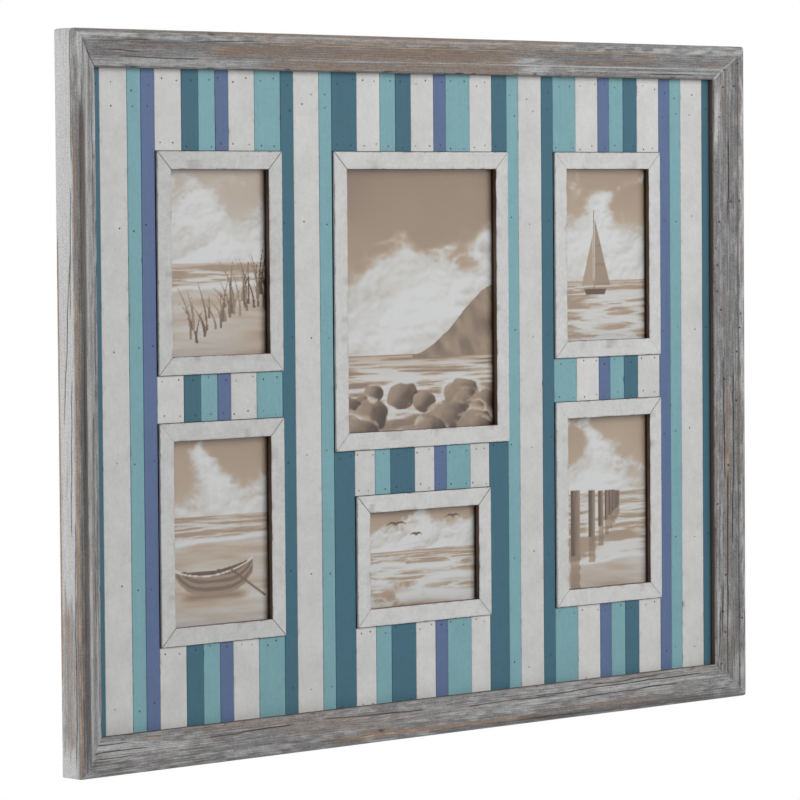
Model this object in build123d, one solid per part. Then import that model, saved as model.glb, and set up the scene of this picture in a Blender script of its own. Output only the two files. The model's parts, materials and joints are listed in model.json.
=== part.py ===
from build123d import *
import os
from math import atan2, degrees, sqrt

# A collage photo frame: a scooped and beaded moulding round a panel of painted slats, with six glazed
# windows for standard prints. It is laid out face up on a bench, X to the right, Y up the picture and
# Z forward from the moulding's back plane, and the last step stands it against a wall. Sizes are in mm.

# Prints, and what lies behind each bezel
portrait_print_w = 127.0
portrait_print_h = 177.8
large_print_w = 203.2
large_print_h = 254.0
small_print_w = 152.4
small_print_h = 101.6
print_cover = 6.35  # how much of each print edge the bezel hides
print_t = 0.3
glass_t = 2.0
backing_t = 2.5
pocket_clearance = 0.5  # all round the glass, the print and the backing board

# Bezels
bezel_w = 15.9
bezel_t = 6.5
bezel_ease = 0.6
row_gap = 42.4  # between the two bezels of a column
edge_margin = 72.0  # from the bezels to the moulding, above and below

# Slats, and the board that carries them
slat_wide = 30.8
slat_medium = 19.4
slat_narrow = 15.4
slat_t = 4.0
slat_gap = 0.2
slat_ease = 0.4
bezel_gap = 0.6  # between a bezel and the slats round it
board_t = 3.0
board_recess = 2.0  # from the moulding's back plane to the board
panel_clearance = 0.5  # between the panel and the rabbet wall

# Moulding
land_w = 26.5  # back face, from the outer side to the rabbet
lip_overlap = 6.5
lip_t = 6.5
moulding_depth = 29.5
bead_r = 6.2
quirk_drop = 1.8  # from the bead's crest to the line where the scoop starts
scoop_sag = 1.0
lip_round = 0.8
back_ease = 1.5

# V-nails across the mitres, flush with the back
v_nail_leg = 6.0
v_nail_t = 0.8
v_nail_depth = 8.0
v_nail_inset = 5.0  # from the outer side to the first one
v_nail_pitch = 9.0

# Framer's points that hold the panel in the rabbet
point_w = 6.0
point_t = 0.5
point_bite = 6.0
point_tail = 9.0
points_per_rail = 5
points_per_stile = 4

# Turn buttons
button_t = 1.0
button_foot_r = 5.5
button_finger_r = 3.5
button_reach = 20.0  # pivot to fingertip
button_setback = 9.5  # pivot to the window pocket
joggle_run = 2.5
button_lift = 0.1  # between the finger and the backing board
button_play = 0.05  # round the screw and under the foot
button_screw_r = 1.5
button_screw_bite = 2.5
button_head_r = 3.0
button_head_h = 1.4

# Hangers
hanger_drop = 130.0  # top of the frame to the ring's pivot
strap_w = 9.4
strap_length = 30.0  # pivot to the strap's lower end
strap_t = 0.8
hanger_screw_y = 20.0  # pivot down to the screw
hanger_screw_r = 1.6
hanger_head_r = 3.1
hanger_screw_length = 14.0
ring_wire_r = 1.25
ring_half_w = 7.5  # to the middle of the wire
ring_side = 8.0  # pivot to where the bow starts
ring_corner_r = 2.4
ring_play = 0.05  # round the wire in the knuckle
ring_lift = 0.6  # between the hanging ring and the strap
curl_slit = 0.4

# Wall bumpers
wall_gap = 5.0  # moulding back to wall, the bumpers' thickness
bumper_r = 6.5
bumper_taper = 0.8
bumper_inset = 40.0  # from the side of the frame

# Small round pieces are drawn with a few flat sides
round_sides = 10
wire_sides = 8

os.makedirs("parts", exist_ok=True)

# Levels, forward of the moulding's back plane
board_front = board_recess + board_t
lip_back = board_front + slat_t
lip_front = lip_back + lip_t
glass_back = board_front - glass_t
print_back = glass_back - print_t
backing_back = print_back - backing_t

# Bezel outer sizes are the prints less the covered edges plus two sticks
bezel_growth = 2 * (bezel_w - print_cover)
portrait_outer_w = portrait_print_w + bezel_growth
portrait_outer_h = portrait_print_h + bezel_growth
large_outer_w = large_print_w + bezel_growth
large_outer_h = large_print_h + bezel_growth
small_outer_w = small_print_w + bezel_growth
small_outer_h = small_print_h + bezel_growth

# Bands of stock slats that run the full height, named from the centre outwards
inner_band = [("aqua", slat_narrow), ("white", slat_wide), ("teal", slat_narrow)]
outer_band = [("indigo", slat_narrow), ("aqua", slat_narrow), ("white", slat_wide), ("teal", slat_narrow)]

# Rows of short slats round the windows. A white slat has no stock width: it is ripped to fill its row.
side_row = [
    ("white", None), ("teal", slat_medium), ("aqua", slat_medium),
    ("indigo", slat_narrow), ("white", None), ("aqua", slat_wide),
]
top_row = [
    ("teal", slat_wide), ("white", None), ("aqua", slat_medium), ("teal", slat_medium), ("white", None),
    ("indigo", slat_narrow), ("aqua", slat_wide), ("white", None), ("teal", slat_medium),
]
lower_row = [
    ("white", None), ("aqua", slat_medium), ("teal", slat_wide), ("white", None),
    ("indigo", slat_narrow), ("aqua", slat_wide), ("white", None),
]


def band_width(band):
    """Width that a band of stock slats takes, with a gap beside each."""
    return sum(width + slat_gap for colour, width in band)


# The columns stand a band of slats apart, and the panel ends with the outer band
side_field = portrait_outer_w + 2 * bezel_gap
large_field = large_outer_w + 2 * bezel_gap
small_field = small_outer_w + 2 * bezel_gap
side_inner_x = large_field / 2 + band_width(inner_band)
side_outer_x = side_inner_x + side_field
column_x = (side_inner_x + side_outer_x) / 2
panel_w = 2 * (side_outer_x + band_width(outer_band))
side_stack = 2 * portrait_outer_h + row_gap
centre_stack = large_outer_h + row_gap + small_outer_h
sight_h = max(side_stack, centre_stack) + 2 * edge_margin
panel_h = sight_h + 2 * (lip_overlap - panel_clearance)
frame_w = panel_w + 2 * (panel_clearance + land_w)
frame_h = panel_h + 2 * (panel_clearance + land_w)
face_w = land_w + lip_overlap

# Windows: centre, print size
portrait_y = side_stack / 2 - portrait_outer_h / 2
large_y = centre_stack / 2 - large_outer_h / 2
small_y = small_outer_h / 2 - centre_stack / 2
windows = {
    "upper_left": (-column_x, portrait_y, portrait_print_w, portrait_print_h),
    "lower_left": (-column_x, -portrait_y, portrait_print_w, portrait_print_h),
    "upper_right": (column_x, portrait_y, portrait_print_w, portrait_print_h),
    "lower_right": (column_x, -portrait_y, portrait_print_w, portrait_print_h),
    "centre_large": (0, large_y, large_print_w, large_print_h),
    "centre_small": (0, small_y, small_print_w, small_print_h),
}

# Hangers sit on the middle of each stile's back, and the hooks carry the raised rings at their bow
hanger_x = frame_w / 2 - land_w / 2
hanger_y = frame_h / 2 - hanger_drop
pivot_back = strap_t + ring_lift + ring_wire_r
hook_y = hanger_y + ring_side + ring_half_w - ring_wire_r
stand_up = Pos(0, -wall_gap, -hook_y) * Rot(90, 0, 0)


def save(name, solids):
    """Write one node, stood up with the wall at Y = 0 and the hooks at the origin."""
    placed = [stand_up * solid for solid in solids]
    export_step(placed[0] if len(placed) == 1 else Compound(placed), f"parts/{name}.step")


def moulding_section():
    """Moulding cut across: X inwards from the outer side, Y forward from the back."""
    bead_y = moulding_depth - bead_r
    quirk_y = moulding_depth - quirk_drop
    quirk_x = bead_r + sqrt(bead_r**2 - (quirk_y - bead_y) ** 2)
    rabbet = Polyline(
        (back_ease, 0), (land_w, 0), (land_w, lip_back), (face_w, lip_back), (face_w, lip_front)
    )
    scoop = SagittaArc((face_w, lip_front), (quirk_x, quirk_y), scoop_sag)
    bead = ThreePointArc((quirk_x, quirk_y), (bead_r, moulding_depth), (0, bead_y))
    side = Polyline((0, bead_y), (0, back_ease), (back_ease, 0))
    section = make_face(rabbet + scoop + bead + side)
    sight_edge = section.vertices().sort_by_distance((face_w, lip_front))[0]
    return fillet(sight_edge, lip_round)


def bezel_section():
    """Bezel stick cut across, both front edges eased."""
    block = Pos(bezel_w / 2, bezel_t / 2) * Rectangle(bezel_w, bezel_t)
    return chamfer(block.vertices().group_by(Axis.Y)[-1], bezel_ease)


def mitred_frame(section, stick_w, outer_w, outer_h):
    """Four sticks of one section with mitred ends: bottom, right, top, left."""
    sticks = []
    for turn, (length, across) in enumerate([(outer_w, outer_h), (outer_h, outer_w)] * 2):
        low = -across / 2
        end = length / 2
        start = Plane(origin=(-end, low, 0), x_dir=(0, 1, 0), z_dir=(1, 0, 0))
        corners = [(-end, low), (end, low), (end - stick_w, low + stick_w), (stick_w - end, low + stick_w)]
        mitres = make_face(Polyline(*corners, close=True))
        stick = extrude(start * section, length) & extrude(mitres, 2 * moulding_depth, both=True)
        sticks.append(Rot(0, 0, 90 * turn) * stick.solids()[0])
    return sticks


def v_nails():
    """Two V-nails in each corner: legs along both rails, the bend on the mitre."""
    leg = Pos(v_nail_leg / 2, v_nail_t / 2, v_nail_depth / 2) * Box(v_nail_leg, v_nail_t, v_nail_depth)
    upright = Pos(v_nail_t / 2, v_nail_leg / 2, v_nail_depth / 2) * Box(v_nail_t, v_nail_leg, v_nail_depth)
    nail = leg + upright
    nails = []
    for turn, (across, up) in enumerate([(frame_w, frame_h), (frame_h, frame_w)] * 2):
        for inset in (v_nail_inset, v_nail_inset + v_nail_pitch):
            nails.append(Rot(0, 0, 90 * turn) * Pos(inset - across / 2, inset - up / 2) * nail)
    return nails


def panel_points():
    """Flat steel points driven into the rabbet wall behind the board, spread evenly along each side."""
    half = point_w / 2
    outline = [(-half, point_tail), (-half, half - point_bite), (0, -point_bite), (half, half - point_bite)]
    outline.append((half, point_tail))
    point = extrude(make_face(Polyline(*outline, close=True)), point_t)
    sides = [(panel_w, panel_h, points_per_rail), (panel_h, panel_w, points_per_stile)]
    points = []
    for turn, (length, across, count) in enumerate(sides * 2):
        wall = -across / 2 - panel_clearance
        for index in range(count):
            along = length * ((index + 0.5) / count - 0.5)
            points.append(Rot(0, 0, 90 * turn) * Pos(along, wall, board_recess - point_t) * point)
    return points


def faceted(radius, low, high, far_radius=None):
    """Upright turned length with flat sides, from low to high, tapering to the far radius if there is one."""
    slope = degrees(atan2(radius - (far_radius or radius), high - low))
    return extrude(Pos(0, 0, low) * RegularPolygon(radius, round_sides), high - low, taper=slope)


def turn_button():
    """Joggled plate that turns on a screw at the origin: the foot on the board, the finger along +X."""
    foot = board_recess - button_play
    finger = backing_back - button_lift
    bend = joggle_run * button_t / (2 * (joggle_run + foot - finger))
    profile = Polyline(
        (-button_foot_r, foot), (button_foot_r, foot), (button_foot_r + joggle_run, finger),
        (button_reach, finger), (button_reach, finger - button_t),
        (button_foot_r + joggle_run - bend, finger - button_t), (button_foot_r - bend, foot - button_t),
        (-button_foot_r, foot - button_t), close=True,
    )
    plate = extrude(Plane.XZ * make_face(profile), button_foot_r, both=True)
    tip = Pos(button_reach - button_finger_r, 0) * RegularPolygon(button_finger_r, round_sides)
    outline = make_hull((RegularPolygon(button_foot_r, round_sides) + tip).edges())
    hole = Circle(button_screw_r + button_play)
    return (plate & extrude(outline - hole, 2 * button_foot_r, both=True)).solids()[0]


def button_screw():
    """Pan-head screw through a turn button's foot into the board."""
    seat = board_recess - button_t - 2 * button_play
    crown = seat - button_head_h
    tip = board_recess + button_screw_bite
    head = faceted(button_head_r, crown, seat)
    head = chamfer(head.faces().sort_by(Axis.Z)[0].edges(), button_head_h / 2)
    return head + faceted(button_screw_r, seat, tip)


def button_places():
    """Where each turn button sits and which way its finger points, by name."""
    places = {}
    for name, (x, y, width, height) in windows.items():
        side = width / 2 + pocket_clearance + button_setback
        end = height / 2 + pocket_clearance + button_setback
        if name == "centre_small":
            spots = {"top": (x, y + end, -90), "bottom": (x, y - end, 90)}
        elif name == "centre_large":
            spots = {
                "upper_left": (x - side, y + height / 4, 0),
                "lower_left": (x - side, y - height / 4, 0),
                "upper_right": (x + side, y + height / 4, 180),
                "lower_right": (x + side, y - height / 4, 180),
            }
        else:
            spots = {"left": (x - side, y, 0), "right": (x + side, y, 180)}
        for spot, (px, py, angle) in spots.items():
            places[f"button_{name}_{spot}"] = Pos(px, py) * Rot(0, 0, angle)
    return places


def hanger_screw():
    """Countersunk screw, its head flush with the strap, along +Z from the origin at the stile's back."""
    neck = hanger_head_r - hanger_screw_r - strap_t
    taper = hanger_screw_length - 2 * hanger_screw_r
    head = faceted(hanger_head_r, -strap_t, neck, hanger_screw_r)
    shank = faceted(hanger_screw_r, neck, taper)
    return head + shank + faceted(hanger_screw_r, taper, hanger_screw_length, hanger_screw_r / 4)


def hanger_strap():
    """Steel strap on the stile's back, its upper end curled round the ring's straight side."""
    bore = ring_wire_r + ring_play
    curl = bore + strap_t
    heel = curl + ring_lift
    plate = Polyline(
        (-strap_length, 0), (-heel, 0), (0, curl - pivot_back), (0, bore - pivot_back),
        (-heel, -strap_t), (-strap_length, -strap_t), close=True,
    )
    slit = Pos(-curl, bore / 2 - pivot_back) * Rectangle(curl, curl_slit)
    ring = Pos(0, -pivot_back) * (Circle(curl) - Circle(bore))
    section = make_face(plate) + (ring - slit)
    across = Plane(origin=(0, 0, 0), x_dir=(0, 1, 0), z_dir=(1, 0, 0))
    strap = extrude(across * section, strap_w / 2, both=True)
    end = Pos(0, strap_w / 2 - strap_length)
    outline = make_hull((end * Circle(strap_w / 2) + Pos(0, curl) * Rectangle(strap_w, curl)).edges())
    return (strap & extrude(outline, 2 * pivot_back, both=True)).solids()[0]


def hanger_ring():
    """D-ring of round wire hanging down from its straight side, which lies along X at the origin."""
    inner = ring_half_w - ring_corner_r
    path = Wire([
        Line((-inner, 0), (inner, 0)),
        TangentArc((inner, 0), (ring_half_w, -ring_corner_r), tangent=(1, 0)),
        Line((ring_half_w, -ring_corner_r), (ring_half_w, -ring_side)),
        ThreePointArc((ring_half_w, -ring_side), (0, -ring_side - ring_half_w), (-ring_half_w, -ring_side)),
        Line((-ring_half_w, -ring_side), (-ring_half_w, -ring_corner_r)),
        TangentArc((-ring_half_w, -ring_corner_r), (-inner, 0), tangent=(0, 1)),
    ])
    start = Plane(origin=(-inner, 0, 0), x_dir=(0, 1, 0), z_dir=(1, 0, 0))
    return Pos(0, 0, -pivot_back) * sweep(start * RegularPolygon(ring_wire_r, wire_sides), path)


def slat(width, x, low, high):
    """One slat on the board from low to high, its long front edges eased."""
    place = Pos(x, (low + high) / 2, board_front + slat_t / 2)
    block = place * Box(width, high - low, slat_t)
    return chamfer(block.edges().filter_by(Axis.Y).group_by(Axis.Z)[-1], slat_ease)


def lay_slats(row, left, right, low, high, run):
    """Lay a row of slats from left to right, the white ones ripped to share the width that is left."""
    ripped = sum(1 for colour, width in row if width is None)
    stock = sum(width or 0 for colour, width in row) + slat_gap * len(row)
    rip_w = (right - left - stock) / max(ripped, 1)
    for colour, width in row:
        slat_w = width or rip_w
        group = slats.setdefault(f"{colour}_slats_{run}", [])
        group.append(slat(slat_w, left + (slat_w + slat_gap) / 2, low, high))
        left += slat_w + slat_gap


# Moulding, its corner nails and the points that hold the panel
nails = v_nails()
points = panel_points()
strap_place = {side: Pos(sign * hanger_x, hanger_y) for side, sign in (("left", -1), ("right", 1))}
hanger_screws = [place * Pos(0, -hanger_screw_y) * hanger_screw() for place in strap_place.values()]
rails = mitred_frame(moulding_section(), face_w, frame_w, frame_h)
for name, rail in zip(["bottom_rail", "right_stile", "top_rail", "left_stile"], rails):
    save(name, [rail - nails - points - hanger_screws])
save("corner_v_nails", nails)
save("panel_points", points)

# Panel board with a pocket for each window and a pilot hole for each turn button
places = button_places()
button_screws = [place * button_screw() for place in places.values()]
board = Pos(0, 0, board_recess + board_t / 2) * Box(panel_w, panel_h, board_t)
for x, y, width, height in windows.values():
    pocket_w = width + 2 * pocket_clearance
    pocket_h = height + 2 * pocket_clearance
    board -= Pos(x, y, board_recess + board_t / 2) * Box(pocket_w, pocket_h, board_t)
save("panel_board", [board - button_screws])

# Slats: full-height bands first, then the short rows above, between and below the windows
slats = {}
half_h = panel_h / 2
bands = [(inner_band, large_field / 2, side_inner_x), (outer_band, side_outer_x, panel_w / 2)]
for band, near, far in bands:
    lay_slats(band[::-1], -far, -near, -half_h, half_h, "long")
    lay_slats(band, near, far, -half_h, half_h, "long")
side_rows = [
    (side_stack / 2 + bezel_gap, half_h),
    (bezel_gap - row_gap / 2, row_gap / 2 - bezel_gap),
    (-half_h, -side_stack / 2 - bezel_gap),
]
for low, high in side_rows:
    lay_slats(side_row, -side_outer_x, -side_inner_x, low, high, "short")
    lay_slats(side_row[::-1], side_inner_x, side_outer_x, low, high, "short")
large_low = large_y - large_outer_h / 2
small_high = small_y + small_outer_h / 2
small_low = small_y - small_outer_h / 2
lay_slats(top_row, -large_field / 2, large_field / 2, centre_stack / 2 + bezel_gap, half_h, "short")
for low, high in [(small_high + bezel_gap, large_low - bezel_gap), (-half_h, small_low - bezel_gap)]:
    lay_slats(lower_row, -small_field / 2, small_field / 2, low, high, "short")
flank = [("teal", (large_field - small_field) / 2 - slat_gap)]
lay_slats(flank, -large_field / 2, -small_field / 2, -half_h, large_low - bezel_gap, "short")
lay_slats(flank, small_field / 2, large_field / 2, -half_h, large_low - bezel_gap, "short")
for name, group in slats.items():
    save(name, group)

# Windows: a bezel on the board, and the glass, print and backing board in the pocket behind it
for name, (x, y, width, height) in windows.items():
    sticks = mitred_frame(bezel_section(), bezel_w, width + bezel_growth, height + bezel_growth)
    save(f"bezel_{name}", [Pos(x, y, board_front) * stick for stick in sticks])
    glazing = [("glass", glass_back, glass_t), ("print", print_back, print_t)]
    for layer, back, thickness in glazing + [("back_board", backing_back, backing_t)]:
        save(f"{layer}_{name}", [Pos(x, y, back + thickness / 2) * Box(width, height, thickness)])

# Turn buttons that hold the backing boards
for name, place in places.items():
    save(name, [place * turn_button()])
save("turn_button_screws", button_screws)

# Hangers on the stiles, and bumpers that keep the lower corners off the wall
save("hanger_straps", [place * hanger_strap() - hanger_screws for place in strap_place.values()])
save("hanger_screws", hanger_screws)
for side, place in strap_place.items():
    save(f"hanger_ring_{side}", [place * hanger_ring()])
bumper = faceted(bumper_r - bumper_taper, -wall_gap, 0, bumper_r)
bumper_x = frame_w / 2 - bumper_inset
bumper_y = land_w / 2 - frame_h / 2
save("wall_bumpers", [Pos(sign * bumper_x, bumper_y) * bumper for sign in (-1, 1)])

print("frame", frame_w, frame_h, "sight", panel_w + 2 * (panel_clearance - lip_overlap), sight_h)
print("columns at", column_x, "windows at", portrait_y, large_y, small_y, "hooks at", hook_y)
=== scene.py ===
import json
from math import asin, cos, pi, radians, sin, sqrt

import bpy
import numpy as np
from mathutils import Matrix, Vector


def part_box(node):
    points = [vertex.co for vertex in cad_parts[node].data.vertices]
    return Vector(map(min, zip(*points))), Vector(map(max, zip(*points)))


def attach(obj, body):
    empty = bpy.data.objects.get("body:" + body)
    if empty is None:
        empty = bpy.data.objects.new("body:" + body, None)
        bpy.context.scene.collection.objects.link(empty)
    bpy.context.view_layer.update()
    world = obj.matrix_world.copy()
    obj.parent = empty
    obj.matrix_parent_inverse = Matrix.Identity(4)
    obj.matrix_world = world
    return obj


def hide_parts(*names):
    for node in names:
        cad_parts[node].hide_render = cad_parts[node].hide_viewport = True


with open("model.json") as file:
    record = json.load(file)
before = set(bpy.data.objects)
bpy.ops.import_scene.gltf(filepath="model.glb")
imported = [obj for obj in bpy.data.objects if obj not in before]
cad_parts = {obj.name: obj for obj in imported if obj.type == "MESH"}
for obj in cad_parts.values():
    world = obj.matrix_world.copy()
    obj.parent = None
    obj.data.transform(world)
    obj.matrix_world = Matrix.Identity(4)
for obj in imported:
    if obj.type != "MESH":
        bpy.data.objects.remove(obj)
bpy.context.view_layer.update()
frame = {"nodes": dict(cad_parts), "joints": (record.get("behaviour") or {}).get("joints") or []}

# Moulding: four lengths of softwood, run with a bead and a scoop and wire-brushed so that the soft grain
# stands low, then washed with grey paint and rubbed back to brown wood on the edges. The corners are mitred.
# The dips, in mm, say how deep each kind of wear sinks.
mm = 0.001
rail_low, rail_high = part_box("top_rail")
stile_low, stile_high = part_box("left_stile")
moulding_back = rail_high.y
moulding_depth = rail_high.y - rail_low.y
face_w = rail_high.z - rail_low.z
land_w = 26.5 * mm
lip_back = 9.0 * mm
lip_front = 15.5 * mm
bead_r = 6.2 * mm
quirk_drop = 1.8 * mm
scoop_sag = 1.0 * mm
lip_round = 0.8 * mm
back_ease = 1.5 * mm
side_points = 48
bead_points = 28
scoop_points = 80
lip_points = 6
station_step = 2.4 * mm
ring_pitch = 2.6 * mm
crack_w = 0.42 * mm
crack_wander = 2.6 * mm
ring_dip = 0.16
crack_dip = 0.75
knot_dip = 0.5
chip_dip = 0.5
cloud_dip = 0.4
mitre_dip = 0.3
wash_low = (0.127, 0.128, 0.130, 1)
wash_high = (0.313, 0.317, 0.322, 1)
wash_pale = (0.536, 0.538, 0.536, 1)
worn_brown = (0.200, 0.148, 0.124, 1)
worn_tan = (0.460, 0.335, 0.230, 1)
shade_and_grain_dark = (0.030, 0.024, 0.020, 1)


def smooth_noise(x, y, seed):
    """Value noise from 0 to 1: random heights at whole numbers of x and y, blended by 3t^2 - 2t^3."""
    heights = np.random.default_rng(seed).random((256, 256))
    column, row = np.floor(x).astype(int), np.floor(y).astype(int)
    across, up = x - column, y - row
    across, up = across**2 * (3 - 2 * across), up**2 * (3 - 2 * up)
    left, right = column % 256, (column + 1) % 256
    low, high = row % 256, (row + 1) % 256
    bottom = heights[left, low] * (1 - across) + heights[right, low] * across
    top = heights[left, high] * (1 - across) + heights[right, high] * across
    return bottom * (1 - up) + top * up


def heaped(x, y, seed, octaves=5):
    """Cloudy noise: value noises, each twice as fine and half as strong as the last."""
    total = sum(smooth_noise(x * 2**k, y * 2**k, seed + k) / 2**k for k in range(octaves))
    return total / (2 - 2.0 ** (1 - octaves))


def rise(value, low, high):
    """0 below low, 1 above high, and 3t^2 - 2t^3 between them."""
    share = np.clip((value - low) / (high - low), 0, 1)
    return share**2 * (3 - 2 * share)


def bell(distance, width):
    """Bell curve: 1 at distance 0, falling off over that width."""
    return np.exp(-((distance / width) ** 2))


def straight(start, end, count):
    """Evenly spaced points on the line from start to end, without the end itself."""
    share = np.linspace(0, 1, count, endpoint=False)[:, None]
    return np.array(start) + share * (np.array(end) - np.array(start))


def full_turn(count):
    """Evenly spaced angles right round a circle."""
    return np.linspace(0, 2 * pi, count, endpoint=False)


def line_normals(line):
    """Unit normals of a closed line of points, at right angles to the slope between each one's neighbours."""
    slope = np.roll(line, -1, axis=0) - np.roll(line, 1, axis=0)
    return np.stack([-slope[:, 1], slope[:, 0]], axis=1) / np.hypot(*slope.T)[:, None]


def moulding_section():
    """Closed section as (inwards, forwards), and how much of the brushing each point takes. It goes up the
    outer side, over the bead on a circle, down the scoop on a parabola hung below its chord, round the lip on
    a quadratic curve with the sharp corner as its handle, and back along the rabbet and the land."""
    bead_y = moulding_depth - bead_r
    quirk_turn = asin((bead_r - quirk_drop) / bead_r)
    turn = np.linspace(pi, quirk_turn, bead_points, endpoint=False)
    bead = np.stack([bead_r + bead_r * np.cos(turn), bead_y + bead_r * np.sin(turn)], axis=1)
    quirk = np.array([bead_r + bead_r * cos(quirk_turn), moulding_depth - quirk_drop])
    corner, wall_top = np.array([face_w, lip_front]), np.array([face_w, lip_front - lip_round])
    chord = corner - quirk
    below = np.array([chord[1], -chord[0]]) / np.linalg.norm(chord)
    share = np.linspace(0, 1 - lip_round / np.linalg.norm(chord), scoop_points)[:, None]
    scoop = quirk + share * chord + 4 * scoop_sag * share * (1 - share) * below
    bend = np.linspace(0, 1, lip_points + 2)[1:-1, None]
    lip = (1 - bend) ** 2 * scoop[-1] + 2 * bend * (1 - bend) * corner + bend**2 * wall_top
    runs = [
        (straight((0, back_ease), (0, bead_y), side_points), 1.0), (bead, 1.0), (scoop, 1.0), (lip, 0.8),
        (straight(wall_top, (face_w, lip_back), 10), 0.4),
        (straight((face_w, lip_back), (land_w, lip_back), 3), 0.0),
        (straight((land_w, lip_back), (land_w, 0), 3), 0.0),
        (straight((land_w, 0), (back_ease, 0), 5), 0.0),
        (straight((back_ease, 0), (0, back_ease), 3), 0.0),
    ]
    weights = [np.full(len(points), weight) for points, weight in runs]
    return np.concatenate([points for points, weight in runs]), np.concatenate(weights)


def four_sides(low, high):
    """Bottom, right, top and left of an upright rectangle: start corner, way along, way in and length."""
    across, up = Vector((1, 0, 0)), Vector((0, 0, 1))
    wide, tall = high.x - low.x, high.z - low.z
    return [
        (Vector((low.x, 0, low.z)), across, up, wide), (Vector((high.x, 0, low.z)), up, -across, tall),
        (Vector((high.x, 0, high.z)), -across, -up, wide), (Vector((low.x, 0, high.z)), -up, across, tall),
    ]


def end_to_end(length, step, ends=(0, 0.3, 0.6, 1.0, 1.5, 2.2)):
    """Shares of a length from 0 to 1: even steps, with closer ones (in mm) at both ends."""
    near = np.array(ends) * mm / length
    inside = 3 * mm / length
    count = max(int(length / step), 3)
    return np.concatenate([near, np.linspace(inside, 1 - inside, count), 1 - near[::-1]])


def mitred_rings(section, shares, side, back):
    """Rings of a mitred stick, and the distance of each point along it. A point that lies u inwards runs from
    one mitre plane to the other: distance = u + share * (length - 2 u). The section's last axis is (inwards,
    forwards)."""
    corner, along, inward, length = side
    inwards, forwards = section[..., 0], section[..., 1]
    distance = inwards + shares[:, None] * (length - 2 * inwards)
    rings = np.array(corner) + distance[..., None] * np.array(along) + inwards[..., None] * np.array(inward)
    rings[..., 1] = back - forwards
    return rings, distance


def closed_skin(name, solids, marks, loop=False, sharp=35):
    """One object of closed solids. Each is rings of points, shape (stations, points, 3): four-sided faces
    join each ring to the next, and a flat face covers each end, or the last ring joins the first. If the
    signed volume, the sum of face centre times normal times area, is negative, the faces are turned."""
    corners, sizes, first = [], [], 0
    for rings in solids:
        stations, points = rings.shape[:2]
        index = first + np.arange(stations * points).reshape(stations, points)
        near, far = (index, np.roll(index, -1, axis=0)) if loop else (index[:-1], index[1:])
        sides = np.stack([near, np.roll(near, -1, axis=1), np.roll(far, -1, axis=1), far], axis=-1)
        corners.append(sides.ravel())
        sizes.append(np.full(sides.size // 4, 4))
        if not loop:
            corners += [index[0][::-1], index[-1]]
            sizes.append(np.array([points, points]))
        first += stations * points
    corners, sizes = np.concatenate(corners), np.concatenate(sizes)
    mesh = bpy.data.meshes.new(name)
    mesh.vertices.add(first)
    mesh.vertices.foreach_set("co", np.concatenate([rings.ravel() for rings in solids]).astype(np.float32))
    mesh.loops.add(len(corners))
    mesh.loops.foreach_set("vertex_index", corners.astype(np.int32))
    mesh.polygons.add(len(sizes))
    mesh.polygons.foreach_set("loop_start", (np.cumsum(sizes) - sizes).astype(np.int32))
    mesh.update(calc_edges=True)
    centre, normal = np.empty(len(sizes) * 3, np.float32), np.empty(len(sizes) * 3, np.float32)
    area = np.empty(len(sizes), np.float32)
    mesh.polygons.foreach_get("center", centre)
    mesh.polygons.foreach_get("normal", normal)
    mesh.polygons.foreach_get("area", area)
    if np.sum((centre * normal).reshape(-1, 3).sum(axis=1) * area) < 0:
        mesh.flip_normals()
    for label, values in marks.items():
        vector = values[0].ndim == 3
        layer = mesh.attributes.new(label, "FLOAT_VECTOR" if vector else "FLOAT", "POINT")
        flat = np.concatenate([value.ravel() for value in values]).astype(np.float32)
        layer.data.foreach_set("vector" if vector else "value", flat)
    mesh.shade_smooth()
    mesh.set_sharp_from_angle(angle=radians(sharp))
    piece = bpy.data.objects.new(name, mesh)
    bpy.context.scene.collection.objects.link(piece)
    return piece


def fit(piece, material, body, node):
    """Give a piece its finish, hang it on the body it moves with, and hide the node it stands in for."""
    piece.data.materials.append(material)
    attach(piece, body)
    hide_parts(node)


def new_finish(name):
    """Material with an empty node tree."""
    material = bpy.data.materials.new(name)
    material.use_nodes = True
    material.node_tree.nodes.clear()
    return material, material.node_tree


def add(tree, kind, feeds, **settings):
    """Add a node, set its properties, and feed its inputs, by name or number, from values or sockets."""
    made = tree.nodes.new(kind)
    for key, value in settings.items():
        setattr(made, key, value)
    for key, value in feeds.items():
        if isinstance(value, bpy.types.NodeSocket):
            tree.links.new(value, made.inputs[key])
        else:
            made.inputs[key].default_value = value
    return made


def own_place(tree):
    """The piece's own coordinates."""
    return add(tree, "ShaderNodeTexCoord", {}).outputs["Object"]


def mark(tree, name, output="Fac"):
    """Read one of the mesh's own attributes."""
    return add(tree, "ShaderNodeAttribute", {}, attribute_name=name).outputs[output]


def mix(tree, share, first, second):
    """Mix two colours by a share from 0 to 1."""
    feeds = {0: share, 6: first, 7: second}
    return add(tree, "ShaderNodeMix", feeds, data_type="RGBA").outputs[2]


def brightened(tree, level, colour):
    """A colour with its brightness multiplied by a level."""
    return add(tree, "ShaderNodeHueSaturation", {"Value": level, "Color": colour}).outputs[0]


def maths(tree, operation, *values, clamp=False):
    """One sum on values or sockets."""
    feeds = dict(enumerate(values))
    return add(tree, "ShaderNodeMath", feeds, operation=operation, use_clamp=clamp).outputs[0]


def times(tree, first, second):
    """Product of two values or sockets."""
    return maths(tree, "MULTIPLY", first, second)


def plus(tree, total, *others):
    """Sum of two or more values or sockets."""
    for other in others:
        total = maths(tree, "ADD", total, other)
    return total


def between(tree, value, low, high, to_low=0.0, to_high=1.0):
    """Map a value from one range to another, held at the ends."""
    feeds = {0: value, 1: low, 2: high, 3: to_low, 4: to_high}
    return add(tree, "ShaderNodeMapRange", feeds).outputs[0]


def spread(tree, value, low, high):
    """Map the middle range of a noise to a range of its own."""
    return between(tree, value, 0.3, 0.7, low, high)


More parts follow.
